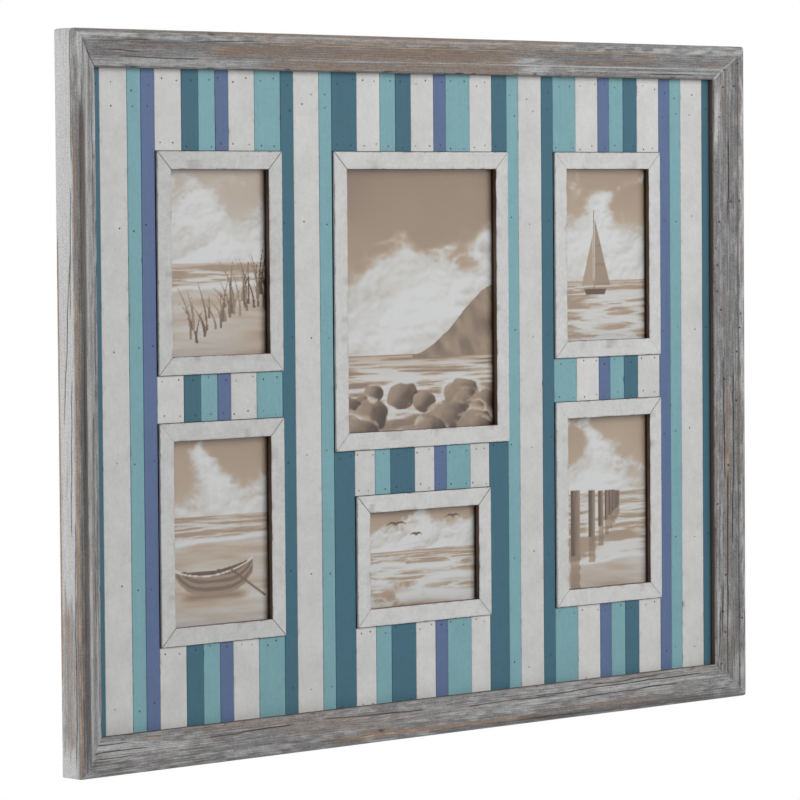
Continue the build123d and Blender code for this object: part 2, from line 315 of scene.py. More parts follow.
def noise(tree, vector, scale, detail, roughness=0.6):
    """Cloudy noise from 0 to 1."""
    feeds = {"Vector": vector, "Scale": scale, "Detail": detail, "Roughness": roughness}
    return add(tree, "ShaderNodeTexNoise", feeds).outputs[0]


def surface(tree, colour, roughness, height, bump, strength=0.6, **constants):
    """Principled surface with a bump of that depth."""
    bumped = add(tree, "ShaderNodeBump", {"Height": height, "Distance": bump, "Strength": strength})
    feeds = {"Base Color": colour, "Roughness": roughness, "Normal": bumped.outputs[0]}
    feeds.update({key.replace("_", " "): value for key, value in constants.items()})
    shader = add(tree, "ShaderNodeBsdfPrincipled", feeds)
    add(tree, "ShaderNodeOutputMaterial", {0: shader.outputs[0]})


def new_group(name, inputs, output):
    """Empty shader group with these inputs, each with its kind, and one value as its output."""
    group = bpy.data.node_groups.new(name, "ShaderNodeTree")
    for label, kind in inputs.items():
        group.interface.new_socket(label, in_out="INPUT", socket_type=f"NodeSocket{kind}")
    group.interface.new_socket(output, in_out="OUTPUT", socket_type="NodeSocketFloat")
    return group, group.nodes.new("NodeGroupInput").outputs


def streaks_group():
    """Shader group for wood fibre and brush marks: noise on (along / length, across / width, seed)."""
    group, given = new_group("streaks", {"Grain": "Vector", "Length": "Float", "Width": "Float"}, "Streaks")
    parts = add(group, "ShaderNodeSeparateXYZ", {0: given["Grain"]}).outputs
    along = maths(group, "DIVIDE", parts[0], given["Length"])
    across = maths(group, "DIVIDE", parts[1], given["Width"])
    stretched = add(group, "ShaderNodeCombineXYZ", {0: along, 1: across, 2: parts[2]}).outputs[0]
    add(group, "NodeGroupOutput", {"Streaks": noise(group, stretched, 1.0, 5.0, 0.62)})
    return group


streaks = streaks_group()


def streaked(tree, length, width):
    """Place the streaks group on the piece's own grain, for streaks of that length and width."""
    feeds = {"Grain": mark(tree, "grain", "Vector"), "Length": length, "Width": width}
    return add(tree, "ShaderNodeGroup", feeds, node_tree=streaks).outputs[0]


def washed_wood():
    """Grey wash over softwood: fibre streaks and mottle from low to high grey, stained in long bands, pale
    where the wash lies thick, brown where it is worn, dusted with chalk, dark in open grain and in painted
    shade in the hollows, and pitted."""
    material, tree = new_finish("washed_wood")
    place = own_place(tree)
    coarse = streaked(tree, 60 * mm, 1.3 * mm)
    fine = streaked(tree, 12 * mm, 0.75 * mm)
    mottle = noise(tree, place, 430.0, 2.0)
    chalk = noise(tree, place, 620.0, 3.0, 0.7)
    stain = between(tree, streaked(tree, 150 * mm, 6 * mm), 0.46, 0.68, 0.0, 0.5)
    fibre = plus(tree, times(tree, coarse, 0.4), times(tree, fine, 0.35), times(tree, mottle, 0.25))
    fibre = between(tree, fibre, 0.38, 0.62)
    grey = mix(tree, stain, mix(tree, fibre, wash_low, wash_high), worn_brown)
    fleck = between(tree, plus(tree, coarse, fine), 0.78, 1.22, -0.2, 0.2)
    thick = between(tree, plus(tree, mark(tree, "wash"), fleck), 0.08, 0.95)
    worn = mark(tree, "worn")
    bare = between(tree, maths(tree, "SUBTRACT", worn, fleck), 0.1, 0.85)
    wood = mix(tree, times(tree, fine, 0.5), worn_brown, worn_tan)
    wood = mix(tree, between(tree, worn, 0.95, 1.35), wood, worn_tan)
    painted = mix(tree, bare, mix(tree, thick, grey, wash_pale), wood)
    dusted = brightened(tree, spread(tree, chalk, 0.76, 1.24), painted)
    scatter = {"Vector": mark(tree, "grain", "Vector"), "Scale": 46.0}
    holes = add(tree, "ShaderNodeTexVoronoi", scatter, voronoi_dimensions="2D").outputs
    chance = add(tree, "ShaderNodeSeparateXYZ", {0: holes["Color"]}).outputs[0]
    pit = times(tree, between(tree, holes["Distance"], 0.034, 0.062, 1.0, 0.0), mark(tree, "pits"))
    pit = times(tree, pit, between(tree, chance, 0.3, 0.6))
    # Open grain and the painted shade of the hollows darken together towards near-black.
    open_grain_and_shade = maths(tree, "MAXIMUM", times(tree, mark(tree, "groove_and_shade"), 0.95), pit)
    colour = mix(tree, maths(tree, "MINIMUM", open_grain_and_shade, 1.0), dusted, shade_and_grain_dark)
    height = maths(tree, "SUBTRACT", plus(tree, fibre, times(tree, chalk, 0.5)), pit)
    surface(tree, colour, spread(tree, fine, 0.62, 0.82), height, 0.3 * mm, 0.7, Specular_IOR_Level=0.25)
    return material


def run_at(inwards):
    """Distance round the section of a point that far inwards or, below 0, that far back down the side."""
    return np.interp(inwards * mm, *inner) + np.minimum(inwards, 0) * mm


def crack_lines(distance, across, cracks, seed):
    """Drying cracks: bells about a line that slants and wanders as it runs, faded in and out at both ends."""
    depth = np.zeros_like(distance)
    for number, (start, end, first, last) in enumerate(cracks):
        wander = heaped(distance / (40 * mm), np.full_like(distance, number + 0.5), seed, 3) - 0.5
        line = run_at(first + (last - first) * np.clip((distance / mm - start) / (end - start), 0, 1))
        fade = rise(distance, start * mm, (start + 8) * mm) * (1 - rise(distance, (end - 14) * mm, end * mm))
        depth = np.maximum(depth, bell(across - line - crack_wander * wander, crack_w) * fade)
    return depth


def knots(distance, across, places):
    """Knots: an eye that is 1 at its centre, on an ellipse drawn out along the grain, and how far the growth
    rings part round it."""
    eye, parting = np.zeros_like(distance), np.zeros_like(distance)
    for along, inwards, radius in places:
        beyond = across - run_at(inwards)
        eye = np.maximum(eye, bell(np.hypot((distance - along * mm) / 1.7, beyond), radius * mm))
        reach = bell(distance - along * mm, 11 * radius * mm) * bell(beyond, 7 * radius * mm)
        parting += 1.3 * reach * np.tanh(beyond / (2 * radius * mm))
    return eye, parting


def touched(distance, across, marks, fade=12, tear=40):
    """Strength of listed marks: bands with soft edges, from and to a distance along the rail. Their ends
    fade, and are ragged, because noise on the distance across tears them along by so many mm."""
    strength = np.zeros_like(distance)
    for start, end, inwards, half, amount in marks:
        torn = smooth_noise(across / (1.4 * mm), np.full_like(across, start), 71) - 0.5
        ragged = distance / mm + min(tear, 0.6 * (end - start)) * torn
        window = rise(ragged, start - fade, start + fade) * (1 - rise(ragged, end - fade, end + fade))
        strength += amount * window * bell(across - run_at(inwards), half * mm)
    return strength


# Marks that age has left on each rail, with painted shade among them, in mm. Cracks run from and to a
# distance along, from and to a distance inwards from the outer side. Knots have a radius. Bare wood, thick
# wash, and dirt and shade are bands with a half width and a strength; the dirt-and-shade bands are dirt in
# places and painted shade in the hollow behind the bead, along the quirk and beside the lip. Then come the
# strength of the dark and of the pale growth rings, of the dabs of wash and of the pits, how pale the filled
# mitre at each end is, and how far each outer corner is worn round.
rail_marks = {
    "bottom_rail": {
        "cracks": [
            (16, 62, 27, 27), (14, 84, 21, 21), (15, 70, 16, 16), (150, 260, 23, 25), (290, 420, 26, 24),
            (470, 600, 22, 23), (560, 800, 24, 27), (610, 760, 18, 20), (640, 745, 28, 30),
        ],
        "knots": [(55, 29.5, 0.9), (353, 11, 1.8)],
        "bare": [
            (75, 105, 29, 2, 0.7), (150, 240, 29, 2.2, 0.55), (300, 575, 7.5, 1.9, 1.2),
            (330, 380, 12, 2.5, 0.6), (560, 700, 11, 3, 0.5), (10, 140, 0.4, 1.2, 0.7),
            (250, 480, 20, 7, 0.35), (640, 800, 9, 2, 0.4), (90, 330, 23, 8, 0.22),
        ],
        "wash": [
            (22, 120, 21, 8, 0.5), (380, 560, 18, 6, 0.3), (560, 830, 23, 7, 0.25), (50, 260, 6, 4, 0.25),
        ],
        "dirt_and_shade": [(30, 330, 6, 3.5, 0.28), (420, 800, 4, 2.5, 0.38), (540, 840, 6, 3.5, 0.32)],
        "rings": (0.42, 0.12), "dabs": 0.9, "pits": 0.0, "mitres": (0.6, 0.5), "rounds": (2, 1.5),
    },
    "right_stile": {
        "cracks": [
            (20, 230, 21, 20), (34, 96, 29, 28), (150, 330, 16, 15), (215, 345, 23, 24), (60, 120, 25, 24),
            (470, 560, 19, 19),
        ],
        "knots": [(52, 9, 0.9)],
        "bare": [
            (563, 605, 22, 1.5, 0.8), (215, 305, 20, 2.2, 0.7), (110, 235, 20, 1.6, 0.75),
            (215, 330, 10, 1, 0.8), (560, 618, 10.4, 0.8, 0.9), (420, 540, 10.4, 0.7, 0.6),
            (150, 230, 6, 1.5, 0.5), (0, 9, 1, 4, 0.9),
        ],
        "wash": [
            (555, 605, 29, 3, 0.7), (40, 110, 30, 3, 0.4), (300, 640, 6, 3.2, 0.38), (10, 300, 6, 3, 0.2),
            (330, 600, 21, 8, -0.16),
        ],
        "dirt_and_shade": [(545, 605, 32.2, 0.9, 0.7), (60, 190, 32.2, 0.9, 0.6), (10, 640, 10.6, 0.6, 0.35)],
        "rings": (0.40, 0.10), "dabs": 0.8, "pits": 0.9, "mitres": (0.5, 1), "rounds": (1.5, 2.5),
    },
    "top_rail": {
        "cracks": [
            (765, 802, 9.4, 9), (645, 716, 8.6, 9), (772, 822, 19, 18), (700, 800, 25, 24), (60, 130, 29, 29),
        ],
        "knots": [(697, 2.6, 2.2), (283, 31, 1.3)],
        "bare": [
            (250, 790, 1.6, 1.5, 1.0), (130, 645, 10.6, 0.9, 1.6), (310, 690, 17, 7, 0.85),
            (300, 620, 28, 4.5, 0.7), (110, 255, 19, 6, 0.55), (35, 70, 18, 2.5, 0.6),
            (0, 11, 10.4, 1.3, 1.5), (250, 650, 6, 2.5, 0.6), (660, 800, 14, 4, 0.4),
        ],
        "wash": [
            (285, 350, 19, 3, 0.7), (268, 298, 28, 4, 0.6), (785, 845, 5, 1.8, 0.7),
            (120, 600, 23.3, 0.7, 0.6), (10, 250, 23, 0.7, 0.5), (20, 240, 27, 0.7, 0.45),
            (5, 130, 8, 5, 0.28), (330, 560, 4.2, 1, 0.35), (640, 845, 28, 4, 0.3),
            (600, 760, 16, 6, -0.06), (600, 800, 6, 4, 0.2),
        ],
        "dirt_and_shade": [(5, 850, 32.4, 0.8, 0.5), (20, 260, 18, 7, 0.12)],
        "rings": (0.24, 0.22), "dabs": 0.5, "pits": 0.15, "mitres": (1, 0), "rounds": (2.5, 5),
    },
    "left_stile": {
        "cracks": [
            (60, 200, 27, 28), (210, 330, 30, 29), (330, 520, 24, 25), (420, 600, 29, 30), (20, 110, 22, 23),
            (-20, 118, -1.5, -1), (135, 250, -2, -5), (190, 345, -4, -15), (300, 440, -3, -7),
            (420, 640, -1, -2),
        ],
        "knots": [(110, 30, 0.9)],
        "bare": [
            (80, 640, 0.8, 1.4, 1.25), (12, 24, 9.5, 1.6, 1.5), (110, 280, 12.5, 1.2, 0.9),
            (105, 115, 30, 2.5, 0.8), (330, 600, 22, 2, 0.5), (80, 600, 8, 2, 0.7),
            (490, 618, -11, 9, 0.5), (180, 560, -20.5, 0.9, 1.15),
        ],
        "wash": [
            (0, 370, -11, 12, 0.3), (60, 330, 24, 6, 0.2), (0, 620, 16, 4, 0.4), (30, 120, 31, 2, 0.5),
            (0, 80, 5, 3, 0.4), (500, 640, 28, 3, 0.4), (490, 622, -11, 11, -0.5), (624, 650, -12, 7, 1.3),
        ],
        "dirt_and_shade": [(62, 640, 6.0, 3.6, 0.85), (62, 640, 9.8, 1.6, 0.4), (110, 640, 2.6, 0.6, 0.3)],
        "rings": (0.34, 0.20), "dabs": 0.6, "pits": 0.1, "mitres": (0, 0.6), "rounds": (5, 2),
    },
}
section, brushed = moulding_section()
step = np.diff(section, axis=0, append=section[:1])
section_run = np.concatenate([[0], np.cumsum(np.hypot(*step.T))[:-1]])
outwards = line_normals(section)
scoop_start = side_points + bead_points
lip_start = scoop_start + scoop_points
inner = (section[side_points:lip_start, 0], section_run[side_points:lip_start])
bead_run, quirk_run = section_run[side_points], section_run[scoop_start]
lip_run, wall_run = section_run[lip_start], section_run[lip_start + lip_points]
washed = washed_wood()


def rounded_corners(inwards, distance, length, rounds):
    """Wear outer corners round: points nearer than the radius to both outer sides move in to its circle."""
    for end, radius in zip((0, length), rounds):
        gap = np.abs(end - distance)
        away = np.hypot(radius * mm - inwards, radius * mm - gap)
        outside = (inwards < radius * mm) & (gap < radius * mm) & (away > radius * mm)
        pull = np.where(outside, radius * mm / np.maximum(away, 0.01 * mm), 1)
        inwards = radius * mm - (radius * mm - inwards) * pull
        gap = radius * mm - (radius * mm - gap) * pull
        distance = gap if end == 0 else length - gap
    return inwards, distance


outer_low = Vector((stile_low.x, 0, stile_low.z))
outer_high = Vector((-stile_low.x, 0, stile_high.z))
for number, (name, side) in enumerate(zip(rail_marks, four_sides(outer_low, outer_high))):
    length, seed, aged = side[3], 100 * (number + 1), rail_marks[name]
    shares = end_to_end(length, station_step)
    flat = np.broadcast_to(section, (len(shares), *section.shape))
    distance = mitred_rings(flat, shares, side, moulding_back)[1]
    across = np.broadcast_to(section_run, distance.shape)
    inwards = flat[..., 0]
    cracks = crack_lines(distance, across, aged["cracks"], seed + 3)
    eyes, parting = knots(distance, across, aged["knots"])
    # The dirt-and-shade bands darken the wood as dirt and as painted shade in the section's hollows.
    bare, thick, dirt_and_shade = [touched(distance, across, aged[kind]) for kind in ("bare", "wash", "dirt_and_shade")]
    turn = across / ring_pitch + 2.4 * heaped(distance / (230 * mm), across / (34 * mm), seed, 4) + parting
    turn = turn + 2 * heaped(distance / (600 * mm), across / (9 * mm), seed + 11, 3)
    late = (0.5 + 0.5 * np.cos(2 * pi * turn)) ** 3
    patches = rise(heaped(distance / (85 * mm), across / (9 * mm), seed + 6), 0.36, 0.62)
    clouds = heaped(distance / (70 * mm), across / (6 * mm), seed + 8) - 0.5
    dabs = heaped(distance / (13 * mm), across / (3 * mm), seed + 13, 4) - 0.5
    mitre_gap = np.stack([distance - inwards, length - inwards - distance])
    filled = sum(bell(gap, 1.2 * mm) * pale for gap, pale in zip(mitre_gap, aged["mitres"]))
    open_mitres = sum(
        bell(gap, 0.5 * mm) * (1 - pale) * rise(inwards, 14 * mm, 20 * mm)
        for gap, pale in zip(mitre_gap, aged["mitres"])
    )
    chips = rise(heaped(distance / (7 * mm), across / (4 * mm), seed + 4, 3), 0.62, 0.8)
    chips = chips * bell(across - lip_run, 1.3 * mm)
    relief = ring_dip * late + crack_dip * cracks + knot_dip * eyes + chip_dip * chips + cloud_dip * clouds
    relief += mitre_dip * (bell(mitre_gap[0], 0.7 * mm) + bell(mitre_gap[1], 0.7 * mm))
    moved = flat - (np.maximum(relief, 0) * brushed * mm)[..., None] * outwards
    rings, run = mitred_rings(moved, shares, side, moulding_back)
    worn_in, worn_run = rounded_corners(moved[..., 0], run, length, aged["rounds"])
    shift = np.stack([worn_run - run, worn_in - moved[..., 0]], axis=-1)
    rings += shift @ np.array([side[1], side[2]])
    dark_rings, pale_rings = aged["rings"]
    on_side = 1 - rise(across, bead_run - 2.5 * mm, bead_run + 1.5 * mm)
    on_wall = rise(across, lip_run + 0.5 * mm, wall_run + 0.5 * mm) * (brushed > 0)
    on_bead = bell(across - run_at(6), 7 * mm)
    in_quirk = bell(across - quirk_run - 0.3 * mm, 0.9 * mm)
    worn = bare * (0.9 + 0.8 * clouds + 0.9 * dabs) + 0.4 * eyes + 0.9 * on_wall
    worn = worn + 0.35 * bell(across - lip_run, 0.9 * mm) + 0.9 * bell(across, 1.2 * mm) * patches
    worn = worn + 0.5 * bell(cracks - 0.35, 0.25) * (cracks > 0.05)
    wash = 0.16 + thick + 0.70 * on_side + 0.7 * filled + 0.45 * clouds + pale_rings * late * patches
    wash = wash + (aged["dabs"] + on_bead) * dabs * (1 - np.clip(dirt_and_shade, 0, 1))
    # One darkening mask for open grain, dirt and painted shade: cracks, knots, open mitres, chips and dark
    # rings are the wood's own, the sight wall is darker all over, and the hollow bands are partly painted
    # shade.
    groove_and_shade = cracks + 0.85 * eyes + open_mitres + dirt_and_shade * (0.8 + 0.8 * clouds) + 0.6 * chips
    groove_and_shade = groove_and_shade + dark_rings * late * (0.2 + 0.8 * patches) * (1 - 0.4 * on_side) + 0.5 * on_wall
    # Painted shade at the foot of the sight wall, where it meets the slats.
    groove_and_shade = groove_and_shade + 0.8 * bell(section[:, 1] - lip_back, 1.8 * mm) * on_wall
    # Painted shade along the quirk, in the crease behind the bead.
    groove_and_shade = groove_and_shade + 0.28 * in_quirk * (1 - np.clip(bare, 0, 1))
    marks = {
        "worn": [np.clip(worn, 0, 1.5)], "wash": [np.clip(wash, 0, 1)], "groove_and_shade": [np.clip(groove_and_shade, 0, 1)],
        "pits": [np.full_like(distance, aged["pits"])],
        "grain": [np.stack([distance, across, np.full_like(distance, seed * 0.37)], axis=-1)],
    }
    rail = closed_skin(f"washed_{name}", [rings], marks, sharp=50)
    fit(rail, washed, "frame", name)

# V-nails and framer's points: stamped steel, bright from the press with a dull film. The V-nails are pressed
# flush across the mitres, and the points are driven into the rabbet to hold the panel in.
zinc_pale = (0.63, 0.635, 0.64, 1)
zinc_dull = (0.40, 0.41, 0.43, 1)


def zinc_plate():
    """Zinc-plated steel: cloudy plating between two greys, roughest where it is dull."""
    material, tree = new_finish("zinc_plate")
    place = own_place(tree)
    cloud = between(tree, noise(tree, place, 420.0, 5.0), 0.35, 0.65)
    scratch = noise(tree, place, 2600.0, 2.0)
    colour = mix(tree, cloud, zinc_dull, zinc_pale)
    surface(tree, colour, between(tree, cloud, 0, 1, 0.46, 0.28), scratch, 0.02 * mm, 0.5, Metallic=1.0)
    return material


def dress(material, *nodes):
    """Give solids that keep their own shape a finish."""
    for node in nodes:
        solid = frame["nodes"][node].data
        solid.materials.clear()
        solid.materials.append(material)


zinc = zinc_plate()
dress(zinc, "corner_v_nails", "panel_points", "hanger_straps")

# Panel board: one sheet of fibreboard, sawn with a pocket for each window. It carries the slats and bezels,
# which are glued and pinned to its front.
board_pale = (0.40, 0.285, 0.185, 1)
board_dark = (0.235, 0.155, 0.095, 1)


def fibreboard(name, dark, pale, fleck):
    """Pressed fibre: fine flecks between two browns, with a few long dark fibres."""
    material, tree = new_finish(name)
    place = own_place(tree)
    flecks = between(tree, noise(tree, place, fleck, 6.0, 0.7), 0.32, 0.68)
    drawn = add(tree, "ShaderNodeMapping", {"Vector": place, "Scale": (260, 260, 1900)}).outputs[0]
    fibres = between(tree, noise(tree, drawn, 1.0, 3.0), 0.62, 0.72)
    colour = mix(tree, times(tree, fibres, 0.5), mix(tree, flecks, dark, pale), dark)
    surface(tree, colour, between(tree, flecks, 0, 1, 0.62, 0.8), flecks, 0.08 * mm)
    return material


dress(fibreboard("panel_fibreboard", board_dark, board_pale, 900.0), "panel_board")

# Slats: thin softwood strips in four paints, sawn to three stock widths, white ones ripped to fill each row.
# They are pinned to the board, and the sunk pins show as small dark dots.
board_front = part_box("white_slats_long")[1].y
slat_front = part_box("white_slats_long")[0].y
slat_ease = 0.4 * mm
slat_row = 4.0 * mm
slat_wave = 0.1 * mm
long_slat = 300.0 * mm
wide_slat = 22.0 * mm
lip_cover = 9.5 * mm
pin_r = 0.85 * mm
pin_depth = 0.6 * mm
pin_end = 4.5 * mm
pin_first = 14.0 * mm
pin_last = 9.0 * mm
pin_pitch = 105.0 * mm
chip_pull = 0.35 * mm
chip_depth = 0.45 * mm
paints = {
    "white": (0.590, 0.588, 0.582, 1), "aqua": (0.196, 0.372, 0.408, 1),
    "teal": (0.055, 0.138, 0.186, 1), "indigo": (0.108, 0.155, 0.280, 1),
}
raw_edge = (0.16, 0.085, 0.05, 1)
saw_dust = (0.035, 0.024, 0.018, 1)


def slat_places(node):
    """Left, right, low and high of each slat of a node: both triangles of its back span its rectangle."""
    mesh = frame["nodes"][node].data
    mesh.calc_loop_triangles()
    places = np.empty(len(mesh.vertices) * 3, np.float32)
    mesh.vertices.foreach_get("co", places)
    index = np.empty(len(mesh.loop_triangles) * 3, np.int32)
    mesh.loop_triangles.foreach_get("vertices", index)
    triangles = places.reshape(-1, 3)[index].reshape(-1, 3, 3)
    back = np.all(np.abs(triangles[:, :, 1] - board_front) < 0.01 * mm, axis=1)
    low, high = triangles[back].min(axis=1), triangles[back].max(axis=1)
    spans = np.stack([low[:, 0], high[:, 0], low[:, 2], high[:, 2]], axis=1)
    return np.unique(np.round(spans, 5), axis=0)


def pin_places(left, right, low, high, draw):
    """Pins of one slat: near both ends, two abreast on a wide slat, and staggered along a long one."""
    wide, middle = right - left, (left + right) / 2
    runs_long = high - low > long_slat
    bottom = low + (pin_end + lip_cover * runs_long)
    top = high - (pin_end + lip_cover * (high > rail_low.z))
    heights = [bottom, top]
    if runs_long:
        heights = list(np.arange(bottom + pin_first, top, pin_pitch)) + [top - pin_last]
    abreast = 0.27 * wide if wide > wide_slat and not runs_long else 0
    pins = []
    for height in heights:
        for sign in (-1, 1) if abreast else (1,):
            shift = sign * abreast + draw.uniform(-0.12, 0.12) * wide
            shift = shift + (abreast == 0) * draw.uniform(-0.2, 0.2) * wide
            lift = draw.uniform(-2.5, 2.5) * mm * (2 if runs_long else 1)
            pins.append((middle + shift, height + lift))
    return np.array(pins)


def slat_rings(left, right, low, high, pins, seed):
    """One slat: rings up its length, each round the back, the sides and the eased front, and its marks. Grid
    lines close up round each pin, where the front sinks in a bell, and edge chips pull the long edges in."""
    close = np.linspace(-1.2, 1.2, 9) * pin_r
    edges = (left + slat_ease, right - slat_ease)
    columns = np.concatenate([np.linspace(*edges, 8), np.add.outer(pins[:, 0], close).ravel()])
    columns = np.unique(np.round(np.clip(columns, *edges), 5))
    rows = np.linspace(low, high, max(int((high - low) / slat_row), 4))
    rows = np.concatenate([rows, np.add.outer(pins[:, 1], close).ravel()])
    rows = np.unique(np.round(np.clip(rows, low, high), 5))
    wide, tall = len(columns), len(rows)
    x = np.broadcast_to(np.concatenate([[left, left], columns, [right, right]]), (tall, wide + 4)).copy()
    z = np.broadcast_to(rows[:, None], x.shape)
    shoulder = slat_front + slat_ease
    front = np.concatenate([[board_front, shoulder], np.full(wide, slat_front), [shoulder, board_front]])
    y = np.broadcast_to(front, x.shape).copy()
    depths = np.random.default_rng(seed + 2).uniform(0.5, 1.0, len(pins))
    bells = [rise(1.25 * pin_r - np.hypot(x - px, z - pz), 0, 0.7 * pin_r) for px, pz in pins]
    sunk = np.max([depth * shape for depth, shape in zip(depths, bells)], axis=0)
    face = np.zeros_like(x)
    face[:, 2:-2] = 1
    y += face * (pin_depth * sunk + slat_wave * (smooth_noise(z / (35 * mm), x / (9 * mm), seed) - 0.5))
    edge = np.minimum(x - left, right - x)
    chip = rise(smooth_noise(z / (14 * mm), (x > (left + right) / 2) * 7.5, seed + 1), 0.93, 0.97)
    chip = chip * (edge < 1.2 * slat_ease) * (y < board_front - slat_ease)
    x += np.where(x < (left + right) / 2, 1, -1) * chip_pull * chip
    y += chip_depth * chip
    side = 1 - rise(board_front - y, 0.78 * (board_front - slat_front), 0.92 * (board_front - slat_front))
    masks = {
        "pin": sunk * face, "side": side * (1 - face),
        "rub": np.clip(0.6 * bell(edge, 0.5 * mm) * face + chip, 0, 1),
        "grain": np.stack([z, x, np.full_like(x, seed * 0.31)], axis=-1),
        "tone": np.full_like(x, np.random.default_rng(seed).uniform(-1, 1)),
    }
    return np.stack([x, y, z], axis=-1), masks


def gathered(sticks):
    """Rings of several solids, and their marks in the same order."""
    marks = {key: [masks[key] for rings, masks in sticks] for key in sticks[0][1]}
    return [rings for rings, masks in sticks], marks


def worn_edges_group():
    """Shader group: where paint has rubbed off. An edge mask, broken up by cloudy noise along the edge."""
    group, given = new_group("worn_edges", {"Edge": "Float", "Place": "Vector", "Amount": "Float"}, "Worn")
    patchy = noise(group, given["Place"], 70.0, 4.0, 0.65)
    spots = noise(group, given["Place"], 900.0, 2.0)
    broken = plus(group, times(group, patchy, 0.7), times(group, spots, 0.3))
    reach = plus(group, broken, maths(group, "SUBTRACT", given["Amount"], 1.0))
    shown = between(group, reach, 0.0, 0.12)
    add(group, "NodeGroupOutput", {"Worn": times(group, shown, given["Edge"])})
    return group


worn_edges = worn_edges_group()


def rubbed_off(tree, amount):
    """Place the worn-edges group on the piece's own edge marks."""
    feeds = {"Edge": mark(tree, "rub"), "Place": own_place(tree), "Amount": amount}
    return add(tree, "ShaderNodeGroup", feeds, node_tree=worn_edges).outputs[0]


def slat_paint(name, paint, brushing, smudge):
    """Flat paint on a slat: brush streaks and grain showing through, faint smudges and specks, bare brown
    edges, dark sawn sides and dark pin holes."""
    material, tree = new_finish(name)
    place = own_place(tree)
    brush = streaked(tree, 120 * mm, 1.1 * mm)
    hair = streaked(tree, 45 * mm, 0.45 * mm)
    cloud = noise(tree, place, 38.0, 5.0, 0.65)
    mottle = between(tree, noise(tree, place, 330.0, 2.0), 0.25, 0.75, -0.045, 0.045)
    specks = between(tree, noise(tree, place, 560.0, 2.0), 0.64, 0.74)
    strokes = [spread(tree, lines, -brushing, brushing) for lines in (brush, hair)]
    smudges = spread(tree, cloud, -smudge, smudge)
    level = plus(tree, *strokes, smudges, mottle, times(tree, mark(tree, "tone"), 0.03))
    level = plus(tree, maths(tree, "SUBTRACT", level, times(tree, specks, 0.12)), 1.0)
    bare = mix(tree, rubbed_off(tree, 0.47), brightened(tree, level, paint), raw_edge)
    cut = mix(tree, mark(tree, "side"), bare, saw_dust)
    pinned = mix(tree, mark(tree, "pin"), cut, saw_dust)
    ridges = plus(tree, brush, hair)
    surface(tree, pinned, spread(tree, cloud, 0.5, 0.66), ridges, 0.06 * mm, 0.45, Specular_IOR_Level=0.2)
    return material


slat_seed = 1000
for colour, paint in paints.items():
    strength = (0.014, 0.075) if colour == "white" else (0.045, 0.05)
    finish = slat_paint(f"{colour}_paint", paint, *strength)
    for run in ("long", "short"):
        node = f"{colour}_slats_{run}"
        slats = []
        for left, right, low, high in slat_places(node):
            slat_seed += 3
            pins = pin_places(left, right, low, high, np.random.default_rng(slat_seed))
            slats.append(slat_rings(left, right, low, high, pins, slat_seed))
        fit(closed_skin(f"painted_{node}", *gathered(slats)), finish, "frame", node)

# Bezels: white-painted sticks with eased edges, mitred round each window and standing a little proud of the
# slats. Their sides were left as stained wood, so a dark line shows round each one, and painted shade turns
# them near-black where they run down to the slats and to the glass.
bezel_w = 15.9 * mm
bezel_round = 0.6 * mm
bezel_step = 3.2 * mm
bezel_ends = (0, 0.2, 0.45, 0.8, 1.3, 2.0)
bezel_wave = 0.12 * mm
seam_w = 0.5 * mm
seam_drop = 0.4 * mm
bezel_paint = (0.590, 0.588, 0.584, 1)
bezel_fleck = (0.30, 0.22, 0.15, 1)
outer_wrap = 2.0 * mm
inner_wrap = 0.35 * mm
wrap_ragged = 0.6 * mm
stained_dark = (0.098, 0.062, 0.046, 1)
stained_pale = (0.190, 0.122, 0.086, 1)
painted_crevice_shade = (0.016, 0.011, 0.010, 1)
bezel_shades = {
    "upper_left": -0.10, "lower_left": -0.08, "upper_right": -0.01,
    "lower_right": 0.0, "centre_large": -0.03, "centre_small": 0.0,
}
bezel_seams = {
    "upper_left": (0.75, 0.45, 1.0, 0.9), "lower_left": (0.9, 0.85, 0.85, 0.25),
    "upper_right": (0.5, 0.25, 0.6, 0.35), "lower_right": (0.55, 0.5, 1.0, 0.15),
    "centre_large": (0.6, 0.12, 0.65, 0.9), "centre_small": (0.5, 0.6, 1.0, 0.85),
}
window_names = list(bezel_shades)


def bezel_section(thick):
    """Closed section (inwards, forwards): a flat stick whose two front edges are quarter circles."""
    turn = np.linspace(0, pi / 2, 5)
    eased = [bezel_round - bezel_round * np.cos(turn), thick - bezel_round + bezel_round * np.sin(turn)]
    outer = np.stack(eased, axis=1)
    inner_edge = np.stack([bezel_w - outer[::-1, 0], outer[::-1, 1]], axis=1)
    face = straight((2 * bezel_round, thick), (bezel_w - bezel_round, thick), 12)
    rise_up = straight((0, 0), (0, thick - bezel_round), 14)
    fall = straight((bezel_w, thick - 1.5 * bezel_round), (bezel_w, 0), 12)
    foot = straight((bezel_w, 0), (0, 0), 4)
    return np.concatenate([rise_up, outer, face, inner_edge, fall, foot])


